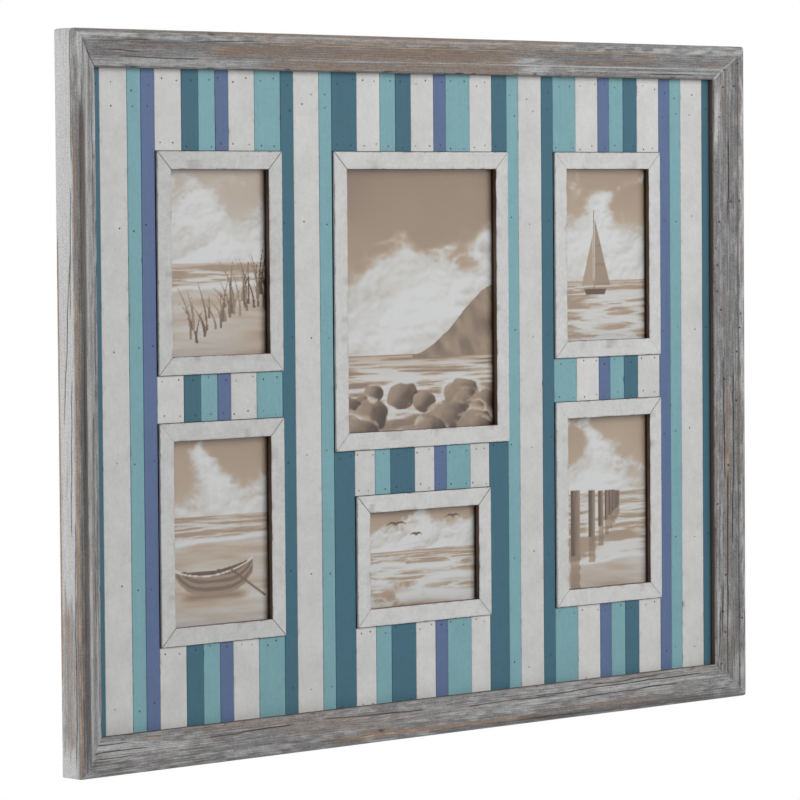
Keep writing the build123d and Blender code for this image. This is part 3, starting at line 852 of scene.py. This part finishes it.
def bezel_finish():
    """White paint on the front of a bezel: soft smudges, specks, brown where edges are bare, dark stained
    sides that turn to near-black painted shade low down.
    """
    material, tree = new_finish("bezel_paint")
    place = own_place(tree)
    brush = streaked(tree, 60 * mm, 1.3 * mm)
    cloud = noise(tree, place, 52.0, 5.0, 0.65)
    specks = between(tree, noise(tree, place, 820.0, 3.0), 0.62, 0.72)
    flecks = between(tree, noise(tree, place, 165.0, 3.0), 0.72, 0.76)
    mottle = between(tree, noise(tree, place, 330.0, 2.0), 0.25, 0.75, -0.07, 0.07)
    level = plus(tree, spread(tree, brush, 0.97, 1.03), spread(tree, cloud, -0.07, 0.07), mottle)
    level = plus(tree, level, mark(tree, "shade"))
    level = maths(tree, "SUBTRACT", level, times(tree, specks, 0.13))
    dusty = mix(tree, times(tree, flecks, 0.35), brightened(tree, level, bezel_paint), bezel_fleck)
    bare = mix(tree, rubbed_off(tree, 0.5), dusty, raw_edge)
    stained = mix(tree, spread(tree, brush, 0.0, 1.0), stained_dark, stained_pale)
    # Painted shade: the stained sides turn near-black low down, towards the slats outside and the glass
    # inside.
    shaded = mix(tree, mark(tree, "deep"), stained, painted_crevice_shade)
    cut = mix(tree, mark(tree, "side"), bare, shaded)
    seamed = mix(tree, times(tree, mark(tree, "seam"), 0.95), cut, saw_dust)
    surface(tree, seamed, spread(tree, cloud, 0.48, 0.62), brush, 0.05 * mm, 0.4, Specular_IOR_Level=0.2)
    return material


def bezel_stick(side, thick, back, shade, seams, seed):
    """One mitred stick and its marks. The front waves a little, and drops in a bell at each mitre, as far as
    its seam is open. The paint wraps a ragged way round the edges, further outside than inside, and corners
    are scuffed at random."""
    profile = bezel_section(thick)
    shares = end_to_end(side[3], bezel_step, bezel_ends)
    flat = np.broadcast_to(profile, (len(shares), *profile.shape))
    distance = mitred_rings(flat, shares, side, back)[1]
    inwards, forwards = flat[..., 0], flat[..., 1]
    near, far = distance - inwards, side[3] - inwards - distance
    ends = np.minimum(near, far)
    seam = seams[0] * bell(near, seam_w) + seams[1] * bell(far, seam_w)
    face = rise(forwards, thick - bezel_round, thick - 0.2 * bezel_round)
    drop = seam_drop * seam + bezel_wave * smooth_noise(distance / (28 * mm), inwards / (6 * mm), seed)
    moved = flat.copy()
    moved[..., 1] -= drop * face
    behind = thick - forwards
    outside = inwards < bezel_w / 2
    wrap = np.where(outside, outer_wrap, inner_wrap)
    wrap = wrap + wrap_ragged * (smooth_noise(distance / (9 * mm), inwards / bezel_w, seed + 5) - 0.5)
    draw = np.random.default_rng(seed)
    shade, scuff = shade + draw.uniform(-0.02, 0.02), draw.uniform(0, 1) ** 2
    scuffed = scuff * bell(ends, 1.1 * mm) * bell(inwards, 5 * mm)
    rubbed = bell(np.minimum(inwards, bezel_w - inwards), 0.7 * mm)
    masks = {
        "grain": np.stack([distance, inwards, np.full_like(distance, seed * 0.29)], axis=-1),
        "side": rise(behind, wrap - 0.25 * mm, wrap + 0.25 * mm),
        # Painted shade: how far down each side the near-black starts, nearer the front outside than inside.
        "deep": np.where(outside, rise(behind, 2.2 * mm, 2.8 * mm), rise(behind, 3.4 * mm, 4.9 * mm)),
        "rub": np.maximum(rubbed, scuffed) * face,
        "seam": seam,
        "shade": np.full_like(distance, shade),
    }
    return mitred_rings(moved, shares, side, back)[0], masks


bezel_white = bezel_finish()
for number, (window, shade) in enumerate(bezel_shades.items()):
    low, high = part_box(f"bezel_{window}")
    corners = bezel_seams[window]
    sticks = []
    for turn, side in enumerate(four_sides(low, high)):
        seed = 3000 + 40 * number + 9 * turn
        seams = (corners[turn], corners[(turn + 1) % 4])
        sticks.append(bezel_stick(side, high.y - low.y, high.y, shade, seams, seed))
    bezel = closed_skin(f"painted_bezel_{window}", *gathered(sticks))
    fit(bezel, bezel_white, "frame", f"bezel_{window}")

# Glass: a 2 mm sheet of coated picture glass in each window pocket, cut to the size of the print it covers.
# The coating takes most of the shine off, so the print shows through clearly.
glass_tint = (0.985, 0.99, 0.985, 1)


def clear_glass():
    """Coated glass: a low index for weak reflections. Soft light passes straight to the print and back."""
    material, tree = new_finish("picture_glass")
    feeds = {"Base Color": glass_tint, "Roughness": 0.015, "IOR": 1.3, "Transmission Weight": 1.0}
    pane = add(tree, "ShaderNodeBsdfPrincipled", feeds).outputs[0]
    rays = add(tree, "ShaderNodeLightPath", {}).outputs
    soft = maths(tree, "MAXIMUM", rays["Is Shadow Ray"], rays["Is Diffuse Ray"])
    passing = add(tree, "ShaderNodeBsdfTransparent", {"Color": glass_tint}).outputs[0]
    mixed = add(tree, "ShaderNodeMixShader", {0: soft, 1: pane, 2: passing}).outputs[0]
    add(tree, "ShaderNodeOutputMaterial", {0: mixed})
    return material


dress(clear_glass(), *[f"glass_{window}" for window in window_names])

# Prints: sepia seaside views on photo paper, one of its own in each window, pressed against the glass by the
# backing board. The tone of each is worked out from its sky, sea and sand, with one plain motif drawn in.
paper_gap = 0.06 * mm
print_step = 0.9 * mm
paper_white = 0.97
sepia_tones = [
    (0.018, 0.011, 0.008, 1), (0.107, 0.071, 0.053, 1), (0.275, 0.200, 0.149, 1),
    (0.420, 0.320, 0.240, 1), (0.545, 0.525, 0.512, 1), (0.640, 0.640, 0.645, 1),
]


def billows(x, y, seed):
    """Puffy noise from 0 to 1: value noises folded about their middle, so that they bulge between sharp
    creases. Each is turned against the last, twice as fine and 0.55 as strong."""
    total = np.zeros_like(x)
    for k in range(6):
        turned = (x * np.cos(k) - y * np.sin(k), x * np.sin(k) + y * np.cos(k))
        total += 0.55**k * np.abs(2 * smooth_noise(turned[0] * 2**k + 31 * k, turned[1] * 2**k, seed + k) - 1)
    return 1 - total * 0.45 / (1 - 0.55**6)


def sky_tone(x, y, horizon, seed, deep=0.52, bank=0.28):
    """Brown sky, deepest at the top and mottled, over a bank of clouds that thins upwards. The clouds are lit
    from above: brighter where the puffs shrink on the way down."""
    height = np.clip((y - horizon) / (1 - horizon), 0, 1)
    clear = deep + (0.67 - deep) * (1 - height) ** 1.3 + 0.16 * (heaped(2.2 * x, 3.4 * y, seed + 30) - 0.5)
    puffs = billows(1.7 * x + 5, 2.6 * y, seed)
    below = billows(1.7 * x + 5.02, 2.6 * (y - 0.018), seed)
    cloud = rise(puffs + 0.62 * (bank - height), 0.40, 0.62)
    lit = np.clip(0.88 + 1.7 * (puffs - below) + 0.25 * (puffs - 0.55), 0.62, 1)
    return clear + (lit - clear) * cloud


def sea_tone(x, y, horizon, seed, low=0.48):
    """Water: wave crests along the creases of a puffy noise, stretched sideways on the square root of the
    drop, so that they close up far off."""
    drop = np.sqrt(np.clip(horizon - y, 0, None))
    crest = billows(2.2 * x, 24 * drop, seed)
    return low + (0.90 - low) * rise(crest, 0.52, 0.80) * (0.5 + 0.5 * rise(drop, 0.02, 0.35))


def sand_tone(x, y, seed):
    """Pale wet sand with low ripples."""
    ripple = heaped(4 * x + 9 * y, 30 * y, seed)
    return 0.70 + 0.34 * (ripple - 0.5)


def stroke(x, y, start, end, width):
    """1 on a straight stroke: points nearer than half the width to the segment from start to end."""
    run = np.array(end) - np.array(start)
    share = np.clip(((x - start[0]) * run[0] + (y - start[1]) * run[1]) / (run @ run), 0, 1)
    gap = np.hypot(x - start[0] - share * run[0], y - start[1] - share * run[1])
    return 1 - rise(gap, 0.35 * width, 0.65 * width)


def over(tone, mask, paint):
    """Lay a tone over another where its mask is 1."""
    return tone * (1 - mask) + paint * mask


def beach(x, y, horizon, shore, seed, deep=0.52):
    """Sky over sea over sand, with a foam line where the water ends."""
    edge = shore + 0.035 * (heaped(4 * x, 0 * x + 3, seed + 60) - 0.5) + 0.05 * x
    tone = over(sky_tone(x, y, horizon, seed, deep), y < horizon, sea_tone(x, y, horizon, seed + 20))
    tone = over(tone, y < edge, sand_tone(x, y, seed + 40))
    return over(tone, bell(y - edge, 0.012), 0.97)


def dune_grass(x, y, wide):
    """A beach behind a dune, its edge a rising half wave, with bent blades of grass."""
    tone = beach(x, y, 0.50, 0.36, 11, 0.66)
    crest = 0.14 + 0.22 * np.sin(np.clip(x / wide, 0, 1) * pi / 2) ** 2
    tone = over(tone, rise(crest - y, 0, 0.012), sand_tone(x, y, 17) - 0.10 * rise(crest - y, 0, 0.3))
    draw = np.random.default_rng(5)
    for blade in range(46):
        root_x = draw.uniform(0.25, 1.0) * wide
        root_y = 0.14 + 0.22 * sin(root_x / wide * pi / 2) ** 2 - draw.uniform(0.0, 0.10)
        tall, lean = draw.uniform(0.10, 0.26), draw.uniform(-0.12, 0.05)
        share = np.clip((y - root_y) / tall, 0, 1)
        body = (np.abs(x - root_x - lean * share**2) < 0.007 * (1.15 - share))
        body = body & (y > root_y) & (y < root_y + tall)
        tone = over(tone, body, draw.uniform(0.16, 0.42))
    return tone


def rowing_boat(x, y, wide):
    """A beached boat: the hull lies between a sheer line that lifts to both ends and a fuller keel line."""
    tone = beach(x, y, 0.58, 0.44, 23)
    share = (x - 0.46 * wide) / (0.36 * wide)
    sheer = 0.285 + 0.05 * share**2 + 0.02 * share
    keel = 0.185 + 0.10 * np.abs(share) ** 3.5
    hull = (np.abs(share) < 1) & (y < sheer) & (y > keel)
    tone = over(tone, bell(y - 0.175, 0.022) * (1 - rise(np.abs(share), 0.55, 1.0)), 0.36)
    tone = over(tone, hull, 0.26 + 0.14 * (np.sin((y - keel) * 170) > 0.1))
    tone = over(tone, (np.abs(share) < 1) & (np.abs(y - sheer) < 0.008), 0.85)
    tone = over(tone, (np.abs(share) < 0.86) & (y > sheer) & (y < sheer + 0.020 * (1 - share**2)), 0.18)
    return over(tone, stroke(x, y, (0.62 * wide, 0.30), (0.93 * wide, 0.16), 0.011), 0.22)


def sailing_boat(x, y, wide):
    """A small boat under two three-cornered sails, each bounded by straight edges, with its glimmer below."""
    horizon = 0.36
    tone = over(sky_tone(x, y, horizon, 31), y < horizon, sea_tone(x, y, horizon, 37))
    mast = 0.40 * wide
    hull = np.abs(x - mast - 0.01) < 0.12 * wide - 0.5 * np.clip(0.31 - y, 0, 1)
    hull = hull & (y > 0.285) & (y < 0.315)
    main = (x > mast + 0.006) & (y > 0.335) & (x - mast < 0.125 * (0.72 - y) / 0.385)
    fore = (x < mast - 0.006) & (y > 0.335) & (mast - x < 0.095 * (0.64 - y) / 0.305)
    glimmer = bell(x - mast, 0.07) * (y < 0.285) * rise(smooth_noise(x * 14, y * 70, 41), 0.35, 0.6)
    tone = over(tone, 0.6 * glimmer * rise(y, 0.02, 0.25), 0.93)
    tone = over(tone, main, 0.44 - 0.08 * (np.sin(y * 60) > 0.96))
    tone = over(tone, fore, 0.54)
    return over(over(tone, stroke(x, y, (mast, 0.31), (mast, 0.74), 0.008), 0.2), hull, 0.17)


def mooring_posts(x, y, wide):
    """Posts that march out into the water: each stands nearer the horizon, shorter and thinner."""
    horizon = 0.55
    tone = beach(x, y, horizon, 0.16, 47)
    for post in range(9):
        share = 1 / (1 + 0.42 * post)
        foot = horizon - 0.34 * share
        centre, half, tall = wide * (0.80 - 0.62 * share), 0.036 * share, 0.36 * share
        body = (np.abs(x - centre) < half) & (y > foot) & (y < foot + tall)
        mirrored = np.abs(x - centre + 0.12 * half * np.sin(y * 120)) < half
        mirrored = mirrored & (y < foot) & (y > foot - 0.55 * tall)
        lit = 0.14 + 0.26 * rise((x - centre) / half, -1, 1) + 0.1 * (smooth_noise(x * 120, y * 9, 53) - 0.5)
        tone = over(over(tone, 0.6 * mirrored, 0.26), body, lit)
    return tone


def rocky_head(x, y, wide):
    """A headland behind heaped boulders, under clouds. Each boulder is an ellipse, lit from the left and
    broken up by noise, with spray where it meets the sea."""
    horizon = 0.30
    tone = over(sky_tone(x, y, horizon, 61, 0.37, 0.40), y < horizon, sea_tone(x, y, horizon, 67, 0.36))
    ragged = 0.04 * (heaped(9 * x, 0 * x, 71) - 0.5) * rise(x / wide, 0.45, 0.6)
    far = horizon + 0.24 * rise(x / wide, 0.48, 0.98) + ragged
    cliff = (y < far) & (y > horizon - 0.012) & (x > 0.46 * wide)
    tone = over(tone, cliff, 0.20 + 0.36 * heaped(22 * x + 9 * y, 15 * y, 73))
    draw = np.random.default_rng(12)
    for boulder in range(26):
        half = draw.uniform(0.035, 0.10)
        middle = (abs(draw.normal(0, 0.30)) if boulder % 2 else 1 - abs(draw.normal(0, 0.22))) * wide
        base = 0.17 - 0.16 * boulder / 25
        away = np.hypot((x - middle) / half, (y - base) / (0.62 * half))
        away = away + 0.35 * (heaped(24 * x, 24 * y, 79 + boulder, 3) - 0.5)
        lit = 0.10 + 0.36 * rise((middle - x) / half + (y - base) / half, -0.9, 1.1)
        spray = 0.55 * bell(away - 1.1, 0.2) * rise(billows(9 * x, 14 * y, 83), 0.5, 0.75)
        tone = over(tone, spray, 0.93)
        tone = over(tone, 1 - rise(away, 0.94, 1.02), lit + 0.18 * (heaped(40 * x, 40 * y, 89, 3) - 0.5))
    return tone


def gulls(x, y, wide):
    """Surf seen low, in rolls of foam along a sine, with gulls drawn as two bent wings apiece."""
    tone = over(sky_tone(x, y, 0.56, 97), y < 0.56, sea_tone(x, y, 0.56, 101))
    for roll, level in enumerate((0.43, 0.30, 0.15)):
        line = level + 0.02 * np.sin(5 * x + 2 * roll) + 0.03 * (heaped(6 * x, 0 * x + roll, 103) - 0.5)
        foam = bell(np.minimum(y - line, 0) + 2.2 * np.maximum(y - line, 0), 0.05 + 0.02 * roll)
        tone = over(tone, foam * rise(billows(3 * x, 6 * y, 107 + roll), 0.38, 0.66), 0.95)
    flock = [(0.30, 0.80, 0.13, 0.2), (0.47, 0.70, 0.08, -0.1), (0.78, 0.84, 0.10, 0.1)]
    for middle, height, span, tip in flock:
        reach = (x / wide - middle) * wide / span
        wing = height + span * (0.42 * np.sqrt(np.abs(reach)) - 0.42 * reach**2 + 0.12 * tip * reach)
        body = (np.abs(y - wing) < 0.013 * (1.15 - np.abs(reach))) & (np.abs(reach) < 1)
        tone = over(tone, body, 0.18)
    return tone


def photo_paper():
    """Sepia print: tone to colour on a ramp, with fine paper grain and a soft sheen."""
    material, tree = new_finish("photo_paper")
    grain = noise(tree, own_place(tree), 1500.0, 3.0)
    speckle = between(tree, grain, 0.2, 0.8, -0.05, 0.05)
    ramp = add(tree, "ShaderNodeValToRGB", {0: maths(tree, "ADD", mark(tree, "tone"), speckle, clamp=True)})
    stops = ramp.color_ramp.elements
    for number, colour in enumerate(sepia_tones):
        at = number / (len(sepia_tones) - 1)
        stop = stops[number] if number < len(stops) else stops.new(at)
        stop.position = at
        stop.color = colour
    sheen = between(tree, grain, 0.2, 0.8, 0.42, 0.55)
    surface(tree, ramp.outputs[0], sheen, grain, 0.01 * mm, 0.3, Specular_IOR_Level=0.15)
    return material


paper = photo_paper()
views = [dune_grass, rowing_boat, sailing_boat, mooring_posts, rocky_head, gulls]
for window, view in zip(window_names, views):
    low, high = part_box(f"print_{window}")
    columns = np.linspace(low.x, high.x, int((high.x - low.x) / print_step))
    rows = np.linspace(low.z, high.z, int((high.z - low.z) / print_step))
    ring_x = np.concatenate([columns, columns[::-1][[0, -1]]])
    x, z = np.meshgrid(ring_x, rows)
    y = np.full_like(x, low.y + paper_gap)
    y[:, -2:] = high.y
    tall = high.z - low.z
    across, up = (x - low.x) / tall, (z - low.z) / tall
    tone = np.clip(view(across, up, (high.x - low.x) / tall), 0, 1)
    tone[:, -2:] = paper_white
    sheet = closed_skin(f"sepia_print_{window}", [np.stack([x, y, z], axis=-1)], {"tone": [tone]})
    fit(sheet, paper, "frame", f"print_{window}")

# Backing boards: brown hardboard, smooth side out, sawn to drop into the window pockets. They press each
# print and its glass against the bezel, and are held by the turn buttons.
hardboard_pale = (0.205, 0.125, 0.072, 1)
hardboard_dark = (0.110, 0.063, 0.035, 1)
hardboard = fibreboard("brown_hardboard", hardboard_dark, hardboard_pale, 1300.0)
dress(hardboard, *[f"back_board_{window}" for window in window_names])

# Turn buttons: joggled steel plates, pressed from strip, that turn on their screws to let a board out.
# Each is a foot circle and a smaller finger circle joined by their tangents.
button_t = 1.0 * mm
foot_r = 5.5 * mm
finger_r = 3.5 * mm
button_reach = 20.0 * mm
joggle_run = 2.5 * mm
plate_edge = 0.35
plate_points = 24
button_stations = 60
tip_turn = 0.02
hinges = {joint["child"]: Vector(joint["pos_m"]) for joint in frame["joints"]}
button_names = [name for name in hinges if name.startswith("button_")]


def button_rings(foot_y, finger_y):
    """Rings along a button that points along +X from its pivot: half width from the two circles and their
    common tangent, and the plate's level sliding from the foot's to the finger's by 3t^2 - 2t^3. Each ring is
    a flat superellipse."""
    centre = button_reach - finger_r
    lean = (foot_r - finger_r) / centre
    turn = np.linspace(tip_turn, pi - tip_turn, button_stations)
    along = (button_reach - foot_r) / 2 - (button_reach + foot_r) / 2 * np.cos(turn)
    taper = (foot_r - along * lean) / sqrt(1 - lean**2)
    half = np.where(along < foot_r * lean, np.sqrt(np.clip(foot_r**2 - along**2, 0, None)), taper)
    tip = np.sqrt(np.clip(finger_r**2 - (along - centre) ** 2, 0, None))
    half = np.where(along > centre + finger_r * lean, tip, half)
    level = foot_y + (finger_y - foot_y) * rise(along, foot_r, foot_r + joggle_run)
    turn = full_turn(plate_points)
    flat = np.sign(np.cos(turn)) * np.abs(np.cos(turn)) ** plate_edge
    edge = np.sign(np.sin(turn)) * np.abs(np.sin(turn)) ** plate_edge
    x = np.broadcast_to(along[:, None], (len(along), len(turn)))
    y = level[:, None] + button_t / 2 * edge
    return np.stack([x, y, half[:, None] * flat], axis=-1)


for name in button_names:
    low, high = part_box(name)
    pivot = hinges[name]
    rings = button_rings(low.y + button_t / 2, high.y - button_t / 2)
    reach = (low + high) / 2 - pivot
    way = np.array([reach.x, reach.z]) / np.hypot(reach.x, reach.z)
    x, y, z = np.moveaxis(rings, -1, 0)
    turned = np.stack([pivot.x + way[0] * x - way[1] * z, y, pivot.z + way[1] * x + way[0] * z], axis=-1)
    fit(closed_skin(f"plated_{name}", [turned], {}), zinc, name, name)

# Screws: steel, with a cross recess. Pan heads hold the turn buttons, and flush heads hold the hanger straps.
pan_r = 3.0 * mm
pan_h = 1.4 * mm
pan_crown = 0.8 * mm
flush_r = 3.1 * mm
flush_h = 0.8 * mm
flush_crown = 0.12 * mm
recess_depth = 0.9 * mm
head_points = 72
head_rings = 26


def screw_head(middle, radius, height, crown, top_y):
    """A turned head seen from behind: rings from the seat's rim to the middle on a crowned curve, less a
    cross recess whose arms narrow to the rim. The last ring is a small one that closes the middle."""
    turn = full_turn(head_points)
    out = np.concatenate([[1, 1], np.linspace(0.985, 0.02, head_rings)])
    rim = height - crown
    lift = np.concatenate([[0, rim * 0.9], rim + crown * (1 - out[2:] ** 2)])
    x = radius * out[:, None] * np.cos(turn)
    z = radius * out[:, None] * np.sin(turn)
    arm = np.minimum(np.abs(x), np.abs(z)) / radius
    reach = np.hypot(x, z) / radius
    cross = (1 - rise(arm, 0.09, 0.15)) * (1 - rise(reach, 0.5, 0.62))
    y = top_y - height + lift[:, None] - recess_depth * cross * (out[:, None] < 0.99)
    return np.stack([middle.x + x, y, middle.z + z], axis=-1)


pan_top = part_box("turn_button_screws")[1].y
pan_heads = [screw_head(hinges[name], pan_r, pan_h, pan_crown, pan_top) for name in button_names]
heads = closed_skin("cross_head_button_screws", pan_heads, {}, sharp=30)
fit(heads, zinc, "frame", "turn_button_screws")
screw_low, screw_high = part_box("hanger_screws")
screw_z = (screw_low.z + screw_high.z) / 2
screw_x = screw_high.x - flush_r
flush_places = [Vector((sign * screw_x, 0, screw_z)) for sign in (-1, 1)]
flush_heads = [screw_head(place, flush_r, flush_h, flush_crown, screw_high.y) for place in flush_places]
heads = closed_skin("cross_head_hanger_screws", flush_heads, {}, sharp=30)
fit(heads, zinc, "frame", "hanger_screws")

# Hanger rings: D-shaped loops of round wire, bent and butted inside the strap's curl. They swing up to take
# the wall hooks.
wire_r = 1.25 * mm
ring_half = 7.5 * mm
ring_side = 8.0 * mm
ring_corner = 2.4 * mm
wire_points = 20


def ring_path(pivot):
    """Line of the wire and its outward normal, both in the plane of the ring: a straight top, two
    quarter-circle corners, straight sides and a half-circle bow below."""
    top = ring_half - ring_corner
    quarter = np.linspace(0, pi / 2, 9)
    right = np.stack([top + ring_corner * np.sin(quarter), ring_corner * (np.cos(quarter) - 1)], axis=1)
    bow_turn = np.linspace(0, -pi, 33)
    bow = np.stack([ring_half * np.cos(bow_turn), -ring_side + ring_half * np.sin(bow_turn)], axis=1)
    left = np.stack([-right[::-1, 0], right[::-1, 1]], axis=1)
    down = straight((ring_half, -ring_corner - 0.5 * mm), bow[0], 5)
    up = straight(bow[-1] + [0, 0.8 * mm], left[0], 5)
    line = np.concatenate([right, down, bow, up, left, straight((0.8 * mm - top, 0), right[0], 7)])
    return line + [pivot.x, pivot.z], line_normals(line)


for side in ("left", "right"):
    name = f"hanger_ring_{side}"
    pivot = hinges[name]
    line, normal = ring_path(pivot)
    turn = full_turn(wire_points)
    x, z = [line[:, [k]] + wire_r * np.cos(turn) * normal[:, [k]] for k in (0, 1)]
    y = np.broadcast_to(pivot.y + wire_r * np.sin(turn), x.shape)
    loop = closed_skin(f"wire_{name}", [np.stack([x, y, z], axis=-1)], {}, loop=True, sharp=60)
    fit(loop, zinc, name, name)

# Wall bumpers: soft dark discs, moulded in rubber and stuck to the lower corners, so that the frame hangs
# plumb and marks no wall.
rubber_dark = (0.028, 0.028, 0.030, 1)
rubber_pale = (0.060, 0.060, 0.062, 1)
bumper_points = 48
dome_points = 8


def rubber():
    """Moulded rubber: near-black with a dusty bloom."""
    material, tree = new_finish("bumper_rubber")
    bloom = between(tree, noise(tree, own_place(tree), 600.0, 5.0), 0.35, 0.7)
    colour = mix(tree, bloom, rubber_dark, rubber_pale)
    surface(tree, colour, between(tree, bloom, 0, 1, 0.55, 0.78), bloom, 0.03 * mm)
    return material


bumper_low, bumper_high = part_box("wall_bumpers")
bumper_r = (bumper_high.z - bumper_low.z) / 2
bumper_z = (bumper_high.z + bumper_low.z) / 2
turn = full_turn(bumper_points)
dome = np.linspace(0, pi / 2, dome_points)
out = np.concatenate([[1, 0.97], 0.85 + 0.08 * np.cos(dome), [0.5, 0.05]])
lift = np.concatenate([[0, 0.55], 0.8 + 0.2 * np.sin(dome), [1, 1]])
discs = []
for sign in (-1, 1):
    x = sign * (bumper_high.x - bumper_r) + bumper_r * out[:, None] * np.cos(turn)
    z = bumper_z + bumper_r * out[:, None] * np.sin(turn)
    y = np.broadcast_to((bumper_low.y + (bumper_high.y - bumper_low.y) * lift)[:, None], x.shape)
    discs.append(np.stack([x, y, z], axis=-1))
fit(closed_skin("moulded_wall_bumpers", discs, {}), rubber(), "frame", "wall_bumpers")

# Stage: a plain pale floor well below the hung frame. It is almost white to the camera and in reflections,
# and still takes a shadow.
floor_drop = 1.3
floor_half = 4.5
floor_glow = 0.85
floor_pale = (0.80, 0.80, 0.80, 1)
white = (1, 1, 1, 1)


def white_to_camera(tree):
    """1 for rays that come from the camera, a reflection or a pane."""
    rays = add(tree, "ShaderNodeLightPath", {}).outputs
    seen = maths(tree, "MAXIMUM", rays["Is Camera Ray"], rays["Is Glossy Ray"])
    return maths(tree, "MAXIMUM", seen, rays["Is Transmission Ray"])


floor_z = stile_low.z - floor_drop
floor_mesh = bpy.data.meshes.new("floor")
floor_ring = [(x * floor_half, y * floor_half, floor_z) for x, y in ((-1, -1), (1, -1), (1, 1), (-1, 1))]
floor_mesh.from_pydata(floor_ring, [], [(0, 1, 2, 3)])
floor = bpy.data.objects.new("floor", floor_mesh)
bpy.context.scene.collection.objects.link(floor)
floor_finish, tree = new_finish("floor_pale")
matt = add(tree, "ShaderNodeBsdfDiffuse", {"Color": floor_pale}).outputs[0]
glow = add(tree, "ShaderNodeEmission", {"Color": white, "Strength": 1.0}).outputs[0]
lit = times(tree, white_to_camera(tree), floor_glow)
shown = add(tree, "ShaderNodeMixShader", {0: lit, 1: matt, 2: glow}).outputs[0]
add(tree, "ShaderNodeOutputMaterial", {0: shown})
floor_mesh.materials.append(floor_finish)

# Light: a broad soft key from the front and a little to the right, a white sweep off to the left that lights
# the frame's outer side, weaker lamps to the right and behind it, and an even dim room.
room_level = 0.27
frame_middle = Vector((0, moulding_back, (stile_low.z + stile_high.z) / 2))
world = bpy.data.worlds.new("studio")
bpy.context.scene.world = world
world.use_nodes = True
world.node_tree.nodes.clear()
level = between(world.node_tree, white_to_camera(world.node_tree), 0, 1, room_level, 1.0)
room = add(world.node_tree, "ShaderNodeBackground", {"Color": white, "Strength": level}).outputs[0]
add(world.node_tree, "ShaderNodeOutputWorld", {0: room})


def soft_lamp(name, place, size, power):
    """Square area lamp that faces the frame."""
    lamp = bpy.data.lights.new(name, "AREA")
    lamp.size = size
    lamp.energy = power
    holder = bpy.data.objects.new(name, lamp)
    holder.location = place
    holder.rotation_euler = (frame_middle - Vector(place)).to_track_quat("-Z", "Y").to_euler()
    bpy.context.scene.collection.objects.link(holder)


soft_lamp("front_key", (0.4, -1.9, 0.65), 1.6, 33.5)
soft_lamp("side_sweep", (-3.0, 0.6, 0.5), 1.6, 58)
soft_lamp("right_sweep", (3.0, 1.7, 0.5), 1.6, 30)
soft_lamp("back_fill", (0.9, 2.6, 0.9), 1.8, 34)

# Camera: to the left of the frame and about level with its middle, at the photograph's angle, on a long lens.
camera_place = Vector((-2.7002, -2.8489, -0.03475))
camera_yaw = radians(43.29638)
camera_pitch = radians(-2.69664)
camera_roll = radians(-0.44213)
ahead = Vector((sin(camera_yaw) * cos(camera_pitch), cos(camera_yaw) * cos(camera_pitch), sin(camera_pitch)))
level_right = Vector((cos(camera_yaw), -sin(camera_yaw), 0))
level_up = level_right.cross(ahead)
right = level_right * cos(camera_roll) + level_up * sin(camera_roll)
up = level_up * cos(camera_roll) - level_right * sin(camera_roll)
lens = bpy.data.cameras.new("camera")
lens.sensor_width = 36.0
lens.lens = 189.851
camera = bpy.data.objects.new("camera", lens)
camera.matrix_world = Matrix((right, up, -ahead)).transposed().to_4x4()
camera.location = camera_place
bpy.context.scene.collection.objects.link(camera)
bpy.context.scene.camera = camera
bpy.context.scene.view_settings.view_transform = "Standard"
